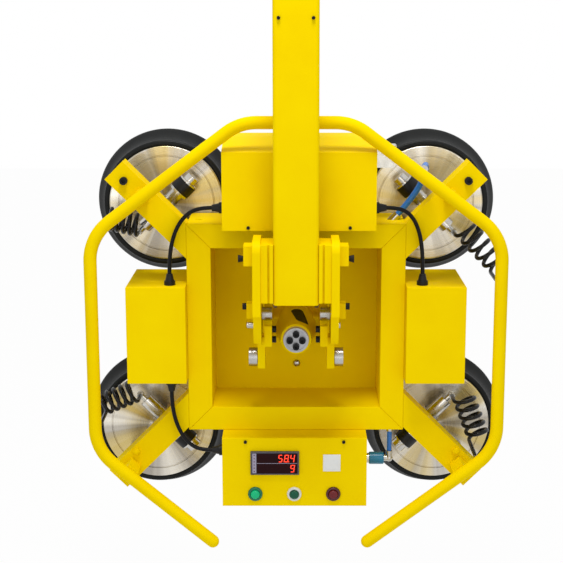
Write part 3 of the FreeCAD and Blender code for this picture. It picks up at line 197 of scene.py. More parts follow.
# Turned profiles: radius and place along the axis, in mm
PLATE_PROFILE = (
    (0, PLATE_FRONT), (30, PLATE_FRONT), (60, PLATE_FRONT), (95.8, PLATE_FRONT), (96.4, PLATE_FRONT),
    (97, 158.6), (97.2, 159.5), (98.8, 159.5), (99, 158.6), (99.6, PLATE_FRONT), (100.2, PLATE_FRONT),
    (114.6, PLATE_FRONT), (115.4, PLATE_FRONT), (116.8, 158.7), (117.6, 159.8), (PLATE_R, 161.5),
    (PLATE_R, PLATE_BACK - 0.4), (117.6, PLATE_BACK), (0, PLATE_BACK))
SEAL_PROFILE = (
    (118.2, 163), (118.6, 161.6), (120, 161.0), (125.5, 161.0), (127.8, 162.0), (129, 164.4), (129, 172),
    (128.6, 176), (128.4, 180), (129.4, 186), (132.5, 194), (137.5, 203), (142.6, 210), (146.4, 215),
    (147.6, 217.4), (SEAL_R, 219.6), (147.6, 221.4), (146.4, LIP_PLANE), (139.4, LIP_PLANE), (138, 220.6),
    (135, 210), (126, 197), (114, 181), (107, 180), (106, 179), (106, 172.4), (118.2, 172.4))
SENSOR_TUBE_PROFILE = (
    (0, SENSOR_TUBE_LOW), (4.4, SENSOR_TUBE_LOW), (5.0, SENSOR_TUBE_LOW + 0.8),
    (5.0, SENSOR_TUBE_HIGH - 0.8), (4.4, SENSOR_TUBE_HIGH), (0, SENSOR_TUBE_HIGH))
METER_LAMP_PROFILE = (
    (0, SCREEN_Y - 0.5), (0.9, SCREEN_Y - 0.35), (1.3, SCREEN_Y + 0.1), (0, SCREEN_Y + 0.1))
BUTTON_RING_PROFILE = (
    (9.4, 0.3), (9.4, -4.0), (10.0, -4.7), (11.6, -4.9), (13.2, -4.5), (14.2, -3.2), (14.5, -1.6),
    (14.5, 0.3))
BUTTON_CAP_PROFILE = (
    (0, -8.9), (3.2, -8.8), (6.0, -8.4), (7.6, -7.8), (8.6, -6.8), (9.0, -5.4), (9.0, -1.0), (0, -1.0))
WASHER_PROFILE = ((0, 0.2), (8.6, 0.2), (8.8, -1.0), (8.4, -1.6), (0, -1.6))
NUT_PROFILE = (
    (0, -1.5), (7.0, -1.5), (7.2, -2.0), (7.2, -6.6), (6.3, -7.4), (4.2, -7.4), (3.9, -8.6), (0, -9.0))
PLATE_BOLT_PROFILE = (
    (0, -6.6), (3.0, -6.4), (5.4, -5.4), (6.9, -3.7), (7.5, -1.6), (7.5, 0.2), (0, 0.2))

# Lamps in mm from the hub, their sizes and the floor in metres
SIDE_LAMP_AT = (700.0, -2600.0, 300.0)
SIDE_LAMP_AIM = (0.0, 0.0, -60.0)
SIDE_LAMP_SIZE = 0.8
TOP_LAMP_AT = (0.0, -760.0, 2240.0)
TOP_LAMP_AIM = (0.0, 0.0, 0.0)
TOP_LAMP_SIZE = 0.6
FLOOR_DROP = 0.30
FLOOR_HALF = 9.0
FLOOR_GREY = 0.82
FLOOR_GLOW = 0.96
ROOM_LIGHT = 0.70
ROOM_SEEN = 1.0


def at(x, y, z):
    """A place given in mm from the hub, in the row frame in metres."""
    return HUB + Vector((x, y, z)) * MM


class LifterColours(PropertyGroup):
    """Colours of the lifter's finishes"""
    paint: FloatVectorProperty(
        name="Paint", description="Yellow of the frame, boxes, mast and handle",
        subtype="COLOR", size=3, min=0, max=1, default=(0.90, 0.67, 0.0))
    paint_deep: FloatVectorProperty(
        name="Deep paint", description="Warmer yellow where the paint lies thick",
        subtype="COLOR", size=3, min=0, max=1, default=(0.86, 0.61, 0.0))
    rubber: FloatVectorProperty(
        name="Rubber", description="Black of the pad seals",
        subtype="COLOR", size=3, min=0, max=1, default=(0.009, 0.010, 0.010))
    hose: FloatVectorProperty(
        name="Hose", description="Black of the coiled hoses and leads",
        subtype="COLOR", size=3, min=0, max=1, default=(0.006, 0.006, 0.007))
    aluminium: FloatVectorProperty(
        name="Aluminium", description="Turned pad plates and valves",
        subtype="COLOR", size=3, min=0, max=1, default=(0.80, 0.77, 0.71))
    # Painted shade: the dull wedges of the turned plates stand in for light sliding off the grooves
    aluminium_painted_shade: FloatVectorProperty(
        name="Dull aluminium", description="Turned pad plates where the light slides off the grooves",
        subtype="COLOR", size=3, min=0, max=1, default=(0.36, 0.34, 0.32))
    # Painted reflection: warm glints on the turned plates stand in for the yellow paint mirrored in the grooves
    aluminium_painted_reflection: FloatVectorProperty(
        name="Warm aluminium", description="Turned pad plates where the grooves catch the yellow paint",
        subtype="COLOR", size=3, min=0, max=1, default=(0.60, 0.45, 0.13))
    steel: FloatVectorProperty(
        name="Steel", description="Pins, bosses and studs",
        subtype="COLOR", size=3, min=0, max=1, default=(0.50, 0.49, 0.47))
    tube_blue: FloatVectorProperty(
        name="Blue tube", description="Vacuum tubes",
        subtype="COLOR", size=3, min=0, max=1, default=(0.012, 0.15, 0.55))
    coupler: FloatVectorProperty(
        name="Coupler", description="Plastic coupler on the control box",
        subtype="COLOR", size=3, min=0, max=1, default=(0.0, 0.16, 0.30))
    digits: FloatVectorProperty(
        name="Digits", description="Lit segments of the panel meter",
        subtype="COLOR", size=3, min=0, max=1, default=(1.0, 0.05, 0.02))


class LifterSizes(PropertyGroup):
    """Sizes of the dressing, the lamps and the camera"""
    paint_edge: FloatProperty(
        name="Painted edge", description="Radius of the painted edges", unit="LENGTH",
        default=0.0016, min=0.0002, max=0.004)
    disc_steps: IntProperty(
        name="Disc steps", description="Segments round a pad", default=160, min=48, max=256)
    label_from: FloatProperty(
        name="Label start", description="Where a label starts, from the valve's middle", unit="LENGTH",
        default=0.043)
    label_high: FloatProperty(
        name="Label height", description="Height of a bare label along its sleeve", unit="LENGTH",
        default=0.024)
    label_thick: FloatProperty(
        name="Label thickness", description="Thickness of a bare label", unit="LENGTH", default=0.0005)
    label_reach: FloatProperty(
        name="Label reach", description="How far a label reaches round its sleeve each way", subtype="ANGLE",
        default=math.radians(84))
    readings: StringProperty(
        name="Readings", description="The meter's two rows of digits", default="58.4 9")
    side_power: FloatProperty(
        name="Side lamps", description="Lamps left and right of the camera", subtype="POWER", default=3.6)
    top_power: FloatProperty(
        name="Top lamp", description="Lamp above the lifter", subtype="POWER", default=30.0)
    lens: FloatProperty(
        name="Lens", description="Camera lens", subtype="DISTANCE_CAMERA", default=85.05)
    camera_back: FloatProperty(
        name="Camera distance", description="Camera distance before the frame's face", unit="LENGTH",
        default=2.56)
    camera_rise: FloatProperty(
        name="Camera height", description="Camera height above the hub", unit="LENGTH", default=0.616)
    camera_pitch: FloatProperty(
        name="Camera pitch", description="How far the camera looks down", subtype="ANGLE",
        default=math.radians(11.5))
    camera_shift: FloatProperty(
        name="Camera shift", description="Sideways shift of the picture", default=-0.0258)


def colours():
    return bpy.context.scene.lifter_colours


def sizes():
    return bpy.context.scene.lifter_sizes


# Finishes

FINISH = {}


def blank(name):
    mat = bpy.data.materials.new(name)
    mat.use_nodes = True
    tree = mat.node_tree
    shader = tree.nodes["Principled BSDF"]
    coords = tree.nodes.new("ShaderNodeTexCoord").outputs["Object"]
    return mat, tree, shader, coords


def noise(tree, coords, scale, detail, stretch=None):
    if stretch is not None:
        mapping = tree.nodes.new("ShaderNodeMapping")
        mapping.inputs["Scale"].default_value = stretch
        tree.links.new(coords, mapping.inputs["Vector"])
        coords = mapping.outputs["Vector"]
    node = tree.nodes.new("ShaderNodeTexNoise")
    node.inputs["Scale"].default_value = scale
    node.inputs["Detail"].default_value = detail
    tree.links.new(coords, node.inputs["Vector"])
    return node.outputs["Fac"]


def spread(tree, value, low, high, start=0.3, stop=0.7):
    """Maps a value between start and stop to low and high."""
    node = tree.nodes.new("ShaderNodeMapRange")
    node.inputs["From Min"].default_value = start
    node.inputs["From Max"].default_value = stop
    node.inputs["To Min"].default_value = low
    node.inputs["To Max"].default_value = high
    tree.links.new(value, node.inputs["Value"])
    return node.outputs["Result"]


def blended(tree, factor, first, second):
    """Mixes two colours, of which the first may be another node's output."""
    node = tree.nodes.new("ShaderNodeMix")
    node.data_type = "RGBA"
    if isinstance(first, bpy.types.NodeSocket):
        tree.links.new(first, node.inputs[6])
    else:
        node.inputs[6].default_value = (*first, 1)
    node.inputs[7].default_value = (*second, 1)
    tree.links.new(factor, node.inputs[0])
    return node.outputs[2]


def mottled(tree, shader, pattern, first, second):
    """Lays a base colour that wanders between two tones with a pattern."""
    colour = blended(tree, spread(tree, pattern, 0, 1), first, second)
    tree.links.new(colour, shader.inputs["Base Color"])


def bumped(tree, shader, height, strength, distance):
    node = tree.nodes.new("ShaderNodeBump")
    node.inputs["Strength"].default_value = strength
    node.inputs["Distance"].default_value = distance
    tree.links.new(height, node.inputs["Height"])
    tree.links.new(node.outputs["Normal"], shader.inputs["Normal"])


def shade(colour, factor):
    return tuple(min(1.0, c * factor) for c in colour)


def grained(name, colour, grain, rough, metal=0.0, vary=0.85, lift=0.15, depth=0.0002, gloss=0.5):
    """A finish with a mottled colour, uneven roughness and a fine grain of the given scale."""
    mat, tree, shader, coords = blank(name)
    mottle = noise(tree, coords, scale=grain * 0.08, detail=4.0)
    mottled(tree, shader, mottle, shade(colour, vary), colour)
    fine = noise(tree, coords, scale=grain, detail=5.0)
    tree.links.new(spread(tree, fine, *rough), shader.inputs["Roughness"])
    shader.inputs["Metallic"].default_value = metal
    shader.inputs["Specular IOR Level"].default_value = gloss
    bumped(tree, shader, fine, lift, depth)
    return mat


def paint_finish():
    """Powder coat with a slight orange peel and deeper yellow in broad patches."""
    tones = colours()
    mat, tree, shader, coords = blank("yellow_powder_coat")
    broad = noise(tree, coords, scale=9.0, detail=4.0)
    mottled(tree, shader, broad, tones.paint_deep, tones.paint)
    peel = noise(tree, coords, scale=70.0, detail=1.0)
    tree.links.new(spread(tree, broad, 0.40, 0.52), shader.inputs["Roughness"])
    shader.inputs["Specular IOR Level"].default_value = 0.01
    bumped(tree, shader, peel, strength=0.08, distance=0.0003)
    return mat


def turned_finish():
    """Lathe-turned aluminium: rings round the disc, with painted highlight and painted shade in bright and dull
    wedges, and a painted reflection of the yellow paint in warm glints.
    """
    tones = colours()
    mat, tree, shader, _ = blank("turned_aluminium")
    turning = tree.nodes.new("ShaderNodeUVMap")
    turning.uv_map = "turning"
    spoke = tree.nodes.new("ShaderNodeUVMap")
    spoke.uv_map = "spoke"
    rings = noise(tree, turning.outputs["UV"], scale=1.0, detail=5.0, stretch=(0.0, 1100.0, 1.0))
    # Painted highlight and shade: bright and dull wedges that follow each point's direction round the disc
    wedges = noise(tree, spoke.outputs["UV"], scale=2.1, detail=5.0)
    # Painted reflection of the yellow paint, laid as warm glints over the wedges
    glints = noise(tree, spoke.outputs["UV"], scale=1.3, detail=4.0, stretch=(-0.9, 1.2, 1.0))
    lit_wedge_share = spread(tree, wedges, 0, 1, start=0.40, stop=0.60)
    painted_glint_share = spread(tree, glints, 0.1, 0.85, start=0.46, stop=0.62)
    plain = blended(tree, lit_wedge_share, tones.aluminium_painted_shade, tones.aluminium)
    with_painted_reflection = blended(tree, painted_glint_share, plain, tones.aluminium_painted_reflection)
    tree.links.new(with_painted_reflection, shader.inputs["Base Color"])
    tree.links.new(spread(tree, rings, 0.24, 0.38), shader.inputs["Roughness"])
    shader.inputs["Metallic"].default_value = 1.0
    shader.inputs["Anisotropic"].default_value = 0.7
    tangent = tree.nodes.new("ShaderNodeTangent")
    tangent.direction_type = "UV_MAP"
    tangent.uv_map = "turning"
    tree.links.new(tangent.outputs["Tangent"], shader.inputs["Tangent"])
    bumped(tree, shader, rings, strength=0.04, distance=0.0002)
    return mat


def lit_finish(name, colour, strength, rough=0.25, gloss=0.3):
    """A smooth finish that glows a little: lit segments on the meter's digits, painted glow on the screen glass
    and the button caps.
    """
    mat, tree, shader, coords = blank(name)
    cloud = noise(tree, coords, scale=160.0, detail=2.0)
    mottled(tree, shader, cloud, shade(colour, 0.8), colour)
    shader.inputs["Roughness"].default_value = rough
    shader.inputs["Emission Color"].default_value = (*colour, 1)
    shader.inputs["Emission Strength"].default_value = strength
    shader.inputs["Specular IOR Level"].default_value = gloss
    return mat


def finishes():
    """Makes every finish once and files it by name."""
    tones = colours()
    FINISH.update({
        "yellow_paint": paint_finish(),
        "bright_steel": grained(
            "bright_steel", tones.steel, 700.0, (0.22, 0.38), metal=1.0, vary=0.8),
        "black_screw": grained(
            "black_oxide", (0.008, 0.008, 0.009), 900.0, (0.4, 0.55), vary=0.7, gloss=0.2),
        "black_plastic": grained(
            "black_plastic", (0.008, 0.008, 0.009), 1200.0, (0.4, 0.55), gloss=0.25),
        "bronze": grained(
            "bronze", (0.52, 0.33, 0.14), 700.0, (0.25, 0.4), metal=1.0, vary=0.8),
        "grey_disc": grained(
            "grey_disc", (0.42, 0.42, 0.43), 800.0, (0.28, 0.42), metal=0.9, vary=0.75),
        "turned_aluminium": turned_finish(),
        "valve_aluminium": grained(
            "valve_aluminium", shade(tones.aluminium, 0.8), 600.0, (0.16, 0.3), metal=1.0, vary=0.7),
        "black_rubber": grained(
            "black_rubber", tones.rubber, 520.0, (0.34, 0.5), vary=0.7, lift=0.2, depth=0.0003, gloss=0.14),
        "hose_black": grained(
            "hose_black", tones.hose, 700.0, (0.22, 0.34), vary=0.8, lift=0.05, gloss=0.25),
        "lead_black": grained(
            "lead_black", tones.hose, 900.0, (0.4, 0.55), vary=0.8, lift=0.12, gloss=0.15),
        "nickel": grained(
            "nickel", (0.56, 0.54, 0.48), 700.0, (0.16, 0.28), metal=1.0, vary=0.75, lift=0.05),
        "blue_tube": grained(
            "blue_tube", tones.tube_blue, 300.0, (0.2, 0.3), vary=0.8, lift=0.04),
        "teal_coupler": grained(
            "teal_coupler", tones.coupler, 500.0, (0.26, 0.38), lift=0.06),
        "meter_grey": grained(
            "meter_grey", (0.075, 0.070, 0.088), 1400.0, (0.4, 0.55), gloss=0.3),
        # Painted glow: the button caps and the white button's lens glow a little though no lamp is in them
        "button_green": lit_finish("button_green", (0.0, 0.40, 0.16), 0.25),
        "button_white": grained(
            "button_white", (0.70, 0.71, 0.66), 500.0, (0.25, 0.35), vary=0.9, lift=0.03),
        "button_red": lit_finish("button_red", (0.15, 0.010, 0.012), 0.05),
        "ring_green": grained(
            "ring_green", (0.0, 0.16, 0.075), 600.0, (0.25, 0.38), vary=0.8, lift=0.04),
        "ring_red": grained(
            "ring_red", (0.075, 0.006, 0.007), 600.0, (0.25, 0.38), vary=0.8, lift=0.04),
        "lens_dark_green": lit_finish("lens_dark_green", (0.0, 0.085, 0.04), 0.05),
        "label_black": grained(
            "label_black", (0.006, 0.006, 0.007), 900.0, (0.3, 0.42), gloss=0.25),
        "plate_white": grained(
            "plate_white", (0.76, 0.77, 0.75), 700.0, (0.35, 0.45), vary=0.94, lift=0.04),
        "strip_lilac": grained(
            "strip_lilac", (0.34, 0.31, 0.42), 900.0, (0.35, 0.5), vary=0.88, lift=0.04),
        # Painted glow: the screen glass glows a faint red though it is no lamp
        "screen_glass": lit_finish("screen_glass", (0.016, 0.002, 0.003), 0.2, rough=0.3, gloss=0.08),
        "digit_red": lit_finish("digit_red", tones.digits, 1.2, rough=0.4),
    })


# Meshes and cords


def settled(bm, name, body, finish, replaced=(), smooth=35.0):
    """Turns a bmesh into a piece that rides on a body and carries a finish."""
    bmesh.ops.recalc_face_normals(bm, faces=bm.faces)
    mesh = bpy.data.meshes.new(name)
    bm.to_mesh(mesh)
    bm.free()
    mesh.materials.append(FINISH[finish])
    mesh.shade_smooth()
    mesh.set_sharp_from_angle(angle=math.radians(smooth))
    piece = bpy.data.objects.new(name, mesh)
    bpy.context.scene.collection.objects.link(piece)
    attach(piece, body)
    if replaced:
        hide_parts(*replaced)
    return piece


def lathe(profile, centre, steps, closed=False, axis=AWAY):
    """A shape turned about an axis; the profile is (radius, place along the axis) pairs in mm."""
    bm = bmesh.new()
    spoke = RIGHT if axis == AWAY else axis.orthogonal().normalized()
    verts = [bm.verts.new(centre + (spoke * r + axis * y) * MM) for r, y in profile]
    edges = [bm.edges.new(pair) for pair in zip(verts, verts[1:])]
    if closed:
        edges.append(bm.edges.new((verts[-1], verts[0])))
    bmesh.ops.spin(bm, geom=verts + edges, cent=centre, axis=axis, angle=2 * math.pi, steps=steps,
                   use_merge=True)
    bmesh.ops.remove_doubles(bm, verts=bm.verts, dist=SAME_PLACE)
    return bm


def turning_map(bm, centre, shift):
    """Two maps for a disc: one runs round it and outwards, one holds each point's direction."""
    turning = bm.loops.layers.uv.new("turning")
    spokes = bm.loops.layers.uv.new("spoke")
    rim = (PLATE_R - 1.0) * MM
    whole = 2 * math.pi
    for face in bm.faces:
        middle = face.calc_center_median() - centre
        base = math.atan2(middle.z, middle.x)
        for loop in face.loops:
            spoke = loop.vert.co - centre
            radius = math.hypot(spoke.x, spoke.z)
            turn = base
            if radius > 10 * SAME_PLACE:
                turn = math.atan2(spoke.z, spoke.x)
                turn += whole * round((base - turn) / whole)
            loop[turning].uv = (turn / whole, radius + (spoke.y if radius > rim else 0.0))
            loop[spokes].uv = (shift + math.cos(turn), math.sin(turn))


def rounded(bm, edges, radius, segments):
    bmesh.ops.bevel(bm, geom=edges, offset=radius, offset_type="OFFSET", segments=segments, profile=0.5,
                    affect="EDGES", material=-1, clamp_overlap=True)


def bar(bm, low, high, edge, segments=2):
    """A box between two corners with rounded edges, added to a bmesh."""
    made = bmesh.ops.create_cube(bm, size=1.0)["verts"]
    bmesh.ops.scale(bm, vec=high - low, verts=made)
    bmesh.ops.translate(bm, vec=(low + high) / 2, verts=made)
    rounded(bm, list({e for v in made for e in v.link_edges}), edge, segments)


def eased(node, edge, finish, body):
    """A copy of a solid with its sharp edges rounded, standing for that solid."""
    bm = bmesh.new()
    bm.from_mesh(frame["nodes"][node].data)
    bmesh.ops.remove_doubles(bm, verts=bm.verts, dist=SAME_PLACE)
    bmesh.ops.dissolve_limit(bm, angle_limit=math.radians(0.4), verts=bm.verts, edges=bm.edges)
    sharp = [e for e in bm.edges if e.is_manifold and e.calc_face_angle(0.0) > math.radians(35)]
    rounded(bm, sharp, edge, segments=2)
    piece = settled(bm, node + "_dressed", body, finish, (node,))
    piece.modifiers.new("even shading", "WEIGHTED_NORMAL").keep_sharp = True


def route(start, out, end, into, straight, pulls, count):
    """A cord's points: straight runs along out and into, in mm, and a smooth bend between them."""
    first = start + out * (straight * MM)
    last = end - into * (straight * MM)
    pull = first + out * (pulls[0] * MM)
    push = last - into * (pulls[1] * MM)
    points = [start]
    for i in range(count + 1):
        t = i / count
        u = 1 - t
        points.append(first * u ** 3 + pull * (3 * u * u * t) + push * (3 * u * t * t) + last * t ** 3)
    return points + [end]


def cord_piece(name, points, radius, finish, body="pad_frame"):
    """A cord on one smooth curve through the given control points."""
    curve = bpy.data.curves.new(name, "CURVE")
    curve.dimensions = "3D"
    curve.bevel_depth = radius
    curve.bevel_resolution = 5
    curve.resolution_u = 6
    curve.use_fill_caps = True
    spline = curve.splines.new("NURBS")
    spline.points.add(len(points) - 1)
    for point, place in zip(spline.points, points):
        point.co = (*place, 1.0)
    spline.order_u = 3
    spline.use_endpoint_u = True
    curve.materials.append(FINISH[finish])
    piece = bpy.data.objects.new(name, curve)
    bpy.context.scene.collection.objects.link(piece)
    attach(piece, body)
    return piece


# Pads and valves


def pad_axes(side, level):
    """A pad's centre, the direction along its arm and the direction across it."""
    centre = at(side * PAD_OUT[level], 0, level * PAD_UP[level])
    along = Vector((side * math.cos(ARM_LEAN), 0, level * math.sin(ARM_LEAN)))
    across = Vector((side * math.sin(ARM_LEAN), 0, -level * math.cos(ARM_LEAN)))
    return centre, along, across


def valve_middle(side, level):
    """The middle of a pad's cross valve, which sits inwards along the arm on the lower pads."""
    centre, along, _ = pad_axes(side, level)
    shift = 0.0 if level > 0 else -VALVE_SHIFT_LOWER
    return centre + along * shift * MM + AWAY * VALVE_Y * MM


class LIFTER_OT_kept_solids(Operator):
    """Finishes on the solids that show as they are"""
    bl_idname = "lifter.kept_solids"
    bl_label = "Kept solids"

    def execute(self, context):
        slot_of = {row["node"]: row["material_slot"] for row in frame["record"]["subparts"]}
        for node, holder in frame["nodes"].items():
            slot = slot_of[node]
            finish = "valve_aluminium" if slot == "turned_aluminium" else slot
            holder.data.materials.clear()
            holder.data.materials.append(FINISH[finish])
        return {"FINISHED"}


PAINTED = {
    "mast": ("mast_tube", "hanger_arm", "lifting_lug", "fork_plates", "fork_blocks"),
    "tilt_head": ("hub_housing", "tilt_lugs"),
    "pad_frame": ("frame_top", "frame_bottom", "frame_left", "frame_right", "back_plate", "pad_arms",
                  "handle_posts", "pump_cover", "battery_boxes", "battery_lids", "control_box",
                  "control_panel"),
}
HANDLE_DOME = tuple(math.radians(a) for a in (84, 72, 60, 45, 30, 15))
HANDLE_RUN_STEPS = 8
HANDLE_BEND_STEPS = 12
HANDLE_ROUND_STEPS = 40


def handle_rings():
    """Centre, direction and radius of each ring along the handle, from tip to tip, in mm from the hub."""
    top_x, top_z = HANDLE_TOP_CORNER
    foot_x, foot_z = HANDLE_FOOT_CORNER
    corners = [Vector(corner) for corner in (
        (HANDLE_FOOT_LEFT, foot_z), (-HANDLE_SIDE, HANDLE_SIDE_FOOT), (-HANDLE_SIDE, HANDLE_SIDE_TOP),
        (-top_x, top_z), (top_x, top_z), (HANDLE_SIDE, HANDLE_SIDE_TOP), (HANDLE_SIDE, HANDLE_SIDE_FOOT),
        (foot_x, foot_z))]
    ways = [(b - a).normalized() for a, b in zip(corners, corners[1:])]
    tip, end = corners[0], corners[-1]
    rings = [(tip - ways[0] * HANDLE_R * math.sin(a), ways[0], HANDLE_R * math.cos(a)) for a in HANDLE_DOME]
    last = tip
    for corner, way, after in zip(corners[1:], ways, ways[1:] + [None]):
        turn = way.angle(after) if after else 0.0
        reach = HANDLE_BEND_R * math.tan(turn / 2)
        start = corner - way * reach
        for i in range(HANDLE_RUN_STEPS + 1):
            rings.append((last.lerp(start, i / HANDLE_RUN_STEPS), way, HANDLE_R))
        if after:
            inward = (after - way * way.dot(after)).normalized()
            middle = start + inward * HANDLE_BEND_R
            for i in range(1, HANDLE_BEND_STEPS):
                a = turn * i / HANDLE_BEND_STEPS
                place = middle + (way * math.sin(a) - inward * math.cos(a)) * HANDLE_BEND_R
                rings.append((place, way * math.cos(a) + inward * math.sin(a), HANDLE_R))
            last = corner + after * reach
    for a in reversed(HANDLE_DOME):
        rings.append((end + ways[-1] * HANDLE_R * math.sin(a), ways[-1], HANDLE_R * math.cos(a)))
    return rings


def ringed(rings, steps):
    """A round bar through flat rings that lie one behind the other in the handle's plane."""
    bm = bmesh.new()
    loops = []
    for place, way, radius in rings:
        side = Vector((way.y, -way.x))
        loop = []
        for i in range(steps):
            a = 2 * math.pi * i / steps
            spoke = side * math.cos(a) * radius
            depth = HANDLE_Y + math.sin(a) * radius
            loop.append(bm.verts.new(at(place.x + spoke.x, depth, place.y + spoke.y)))
        loops.append(loop)
    for near, far in zip(loops, loops[1:]):
        for i in range(steps):
            j = (i + 1) % steps
            bm.faces.new((near[i], near[j], far[j], far[i]))
    for loop in (loops[0], loops[-1]):
        bm.faces.new(loop)
    return bm


class LIFTER_OT_painted_steel(Operator):
    """Painted plates, tubes and boxes with rounded edges, and the bent handle"""
    bl_idname = "lifter.painted_steel"
    bl_label = "Painted steel"

    def execute(self, context):
        for body, nodes in PAINTED.items():
            for node in nodes:
                eased(node, sizes().paint_edge, "yellow_paint", body)
        bm = ringed(handle_rings(), HANDLE_ROUND_STEPS)
        settled(bm, "handle_dressed", "pad_frame", "yellow_paint", ("handle_bar",))
        return {"FINISHED"}


class LIFTER_OT_pads(Operator):
    """Turned pad plates and flared rubber seals"""
    bl_idname = "lifter.pads"
    bl_label = "Suction pads"

    def execute(self, context):
        steps = sizes().disc_steps
        for order, (name, side, level) in enumerate(PADS):
            centre = pad_axes(side, level)[0]
            bm = lathe(PLATE_PROFILE, centre, steps)
            turning_map(bm, centre, DISC_PATTERN_SHIFT * order)
            settled(bm, "pad_disc_" + name, "pad_frame", "turned_aluminium",
                    ("pad_plates",))
            bm = lathe(SEAL_PROFILE, centre, steps, closed=True)
            settled(bm, "pad_rubber_" + name, "pad_frame", "black_rubber",
                    ("pad_seal_" + name,), smooth=50.0)
        return {"FINISHED"}


def bend_middle(side):
    """The middle of the handle's upper bend on one side, in mm from the hub."""
    top_x, top_z = HANDLE_TOP_CORNER
    slant = Vector((top_x - HANDLE_SIDE, top_z - HANDLE_SIDE_TOP)).normalized()
    upright = Vector((0, -1))
    half = slant.angle(upright) / 2
    place = Vector((HANDLE_SIDE, HANDLE_SIDE_TOP))
    place += (slant + upright).normalized() * HANDLE_BEND_R * (1 / math.sin(half) - 1)
    return side * place.x, place.y


def lower_post(run):
    """Where the lower right arm crosses the handle's slanting run, in mm from the hub."""
    centre = Vector((PAD_OUT[-1], -PAD_UP[-1]))
    along = Vector((math.cos(ARM_LEAN), -math.sin(ARM_LEAN)))
    away = Vector(HANDLE_FOOT_CORNER) - centre
    t = (away.y * run.x - away.x * run.y) / (along.y * run.x - along.x * run.y)
    return centre + along * t


def hose_meets():
    """Where each coiled hose meets the handle, in mm from the hub."""
    foot_x, foot_z = HANDLE_FOOT_CORNER
    low_run = Vector((HANDLE_SIDE - foot_x, HANDLE_SIDE_FOOT - foot_z)).normalized()
    return {
        "upper_left": bend_middle(-1),
        "upper_right": (HANDLE_SIDE, HOSE_MEETS_RIGHT_SIDE),
        "lower_left": (-HANDLE_SIDE, HOSE_MEETS_LEFT_SIDE),
        "lower_right": tuple(lower_post(low_run) + low_run * HOSE_PAST_POST),
    }


class LIFTER_OT_coil_hoses(Operator):
    """Coiled hoses from the valves to the back of the handle"""
    bl_idname = "lifter.coil_hoses"
    bl_label = "Coiled hoses"

    def execute(self, context):
        meets = hose_meets()
        coil_y = at(0, COIL_Y, 0).y
        tail = AHEAD * 2 * HOSE_R * MM
        count = COIL_TURNS * POINTS_PER_TURN
        for name, side, level in PADS:
            across = pad_axes(side, level)[2]
            start = valve_middle(side, level) + across * (VALVE_HOSE_END + STUB) * MM + AHEAD * STUB * MM
            meet_x, meet_z = meets[name]
            end = at(meet_x, HANDLE_Y + HANDLE_R + STUB, meet_z)
            first = Vector((start.x, coil_y, start.z))
            axis = Vector((end.x, coil_y, end.z)) - first
            sideways = axis.normalized().cross(AWAY)
            outward = -across if name in COILS_INWARD else across
            if sideways.dot(outward) < 0:
                sideways = -sideways
            points = [start, start + tail]
            for i in range(count + 1):
                angle = 2 * math.pi * i / POINTS_PER_TURN
                spoke = AHEAD * math.sin(angle) - sideways * math.cos(angle)
                middle = first + sideways * COIL_R * MM + axis * (i / count)
                points.append(middle + spoke * COIL_R * MM)
            points += [end - tail, end]
            piece = cord_piece("hose_" + name, points, HOSE_R * MM, "hose_black")
            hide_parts("coil_hose_" + name)
        return {"FINISHED"}


def black_lead(name, node, start, out, end, into, pulls):
    """One black lead between two glands."""
    points = route(start, out, end, into, LEAD_STRAIGHT, pulls, LEAD_BENDS)
    piece = cord_piece("lead_" + name, points, LEAD_R * MM, "lead_black")
    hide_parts(node)


def vacuum_tube():
    """The blue tube from the filter block to the back of the handle's right slant."""
    top_x, top_z = HANDLE_TOP_CORNER
    out = RIGHT * math.sin(TUBE_LEAN) + UP * math.cos(TUBE_LEAN)
    start = at(*TUBE_HOLE) + out * TUBE_NOSE * MM
    slant = Vector((HANDLE_SIDE - top_x, 0, HANDLE_SIDE_TOP - top_z)).normalized()
    into = slant.cross(AWAY) * -math.sin(TUBE_DIP) + AHEAD * math.cos(TUBE_DIP)
    meet = at(top_x, HANDLE_Y, top_z) + slant * TUBE_ALONG_SLANT * MM
    end = meet - into * (HANDLE_R + TUBE_BARB) * MM
    points = route(start, out, end, into, TUBE_STRAIGHT, TUBE_PULLS, LEAD_BENDS)
    piece = cord_piece("tube_vacuum", points, TUBE_R * MM, "blue_tube")
    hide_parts("vacuum_tubes")


class LIFTER_OT_leads(Operator):
    """Black leads between the boxes and the blue vacuum tubes"""
    bl_idname = "lifter.leads"
    bl_label = "Leads and tubes"

    def execute(self, context):
        for name, side in (("left", -1), ("right", 1)):
            start = at(PUMP_SIDE[name] + side * GLAND, LEAD_Y, PUMP_GLAND_Z)
            end = at(side * BATTERY_X, LEAD_Y, BATTERY_TOP + GLAND)
            black_lead(name, "battery_lead_" + name, start, RIGHT * side, end, -UP, LEAD_PULLS)
        start = at(-BATTERY_X, LEAD_Y, BATTERY_FOOT - GLAND)
        end = at(CONTROL_LEFT - GLAND, LEAD_Y, CONTROL_GLAND_Z)
        black_lead("control", "control_lead", start, -UP, end, RIGHT, CONTROL_LEAD_PULLS)
        vacuum_tube()
        bm = lathe(SENSOR_TUBE_PROFILE, at(*SENSOR_TUBE_AT, 0), steps=32, axis=UP)
        settled(bm, "tube_sensor", "pad_frame", "blue_tube", ("vacuum_tubes",))
        return {"FINISHED"}


# The seven strokes of a lit digit, by the figure they make
STROKES = {"0": "abcdef", "1": "bc", "2": "abdeg", "3": "abcdg", "4": "bcfg", "5": "acdfg", "6": "acdefg",
           "7": "abc", "8": "abcdefg", "9": "abcdfg", "-": "g"}


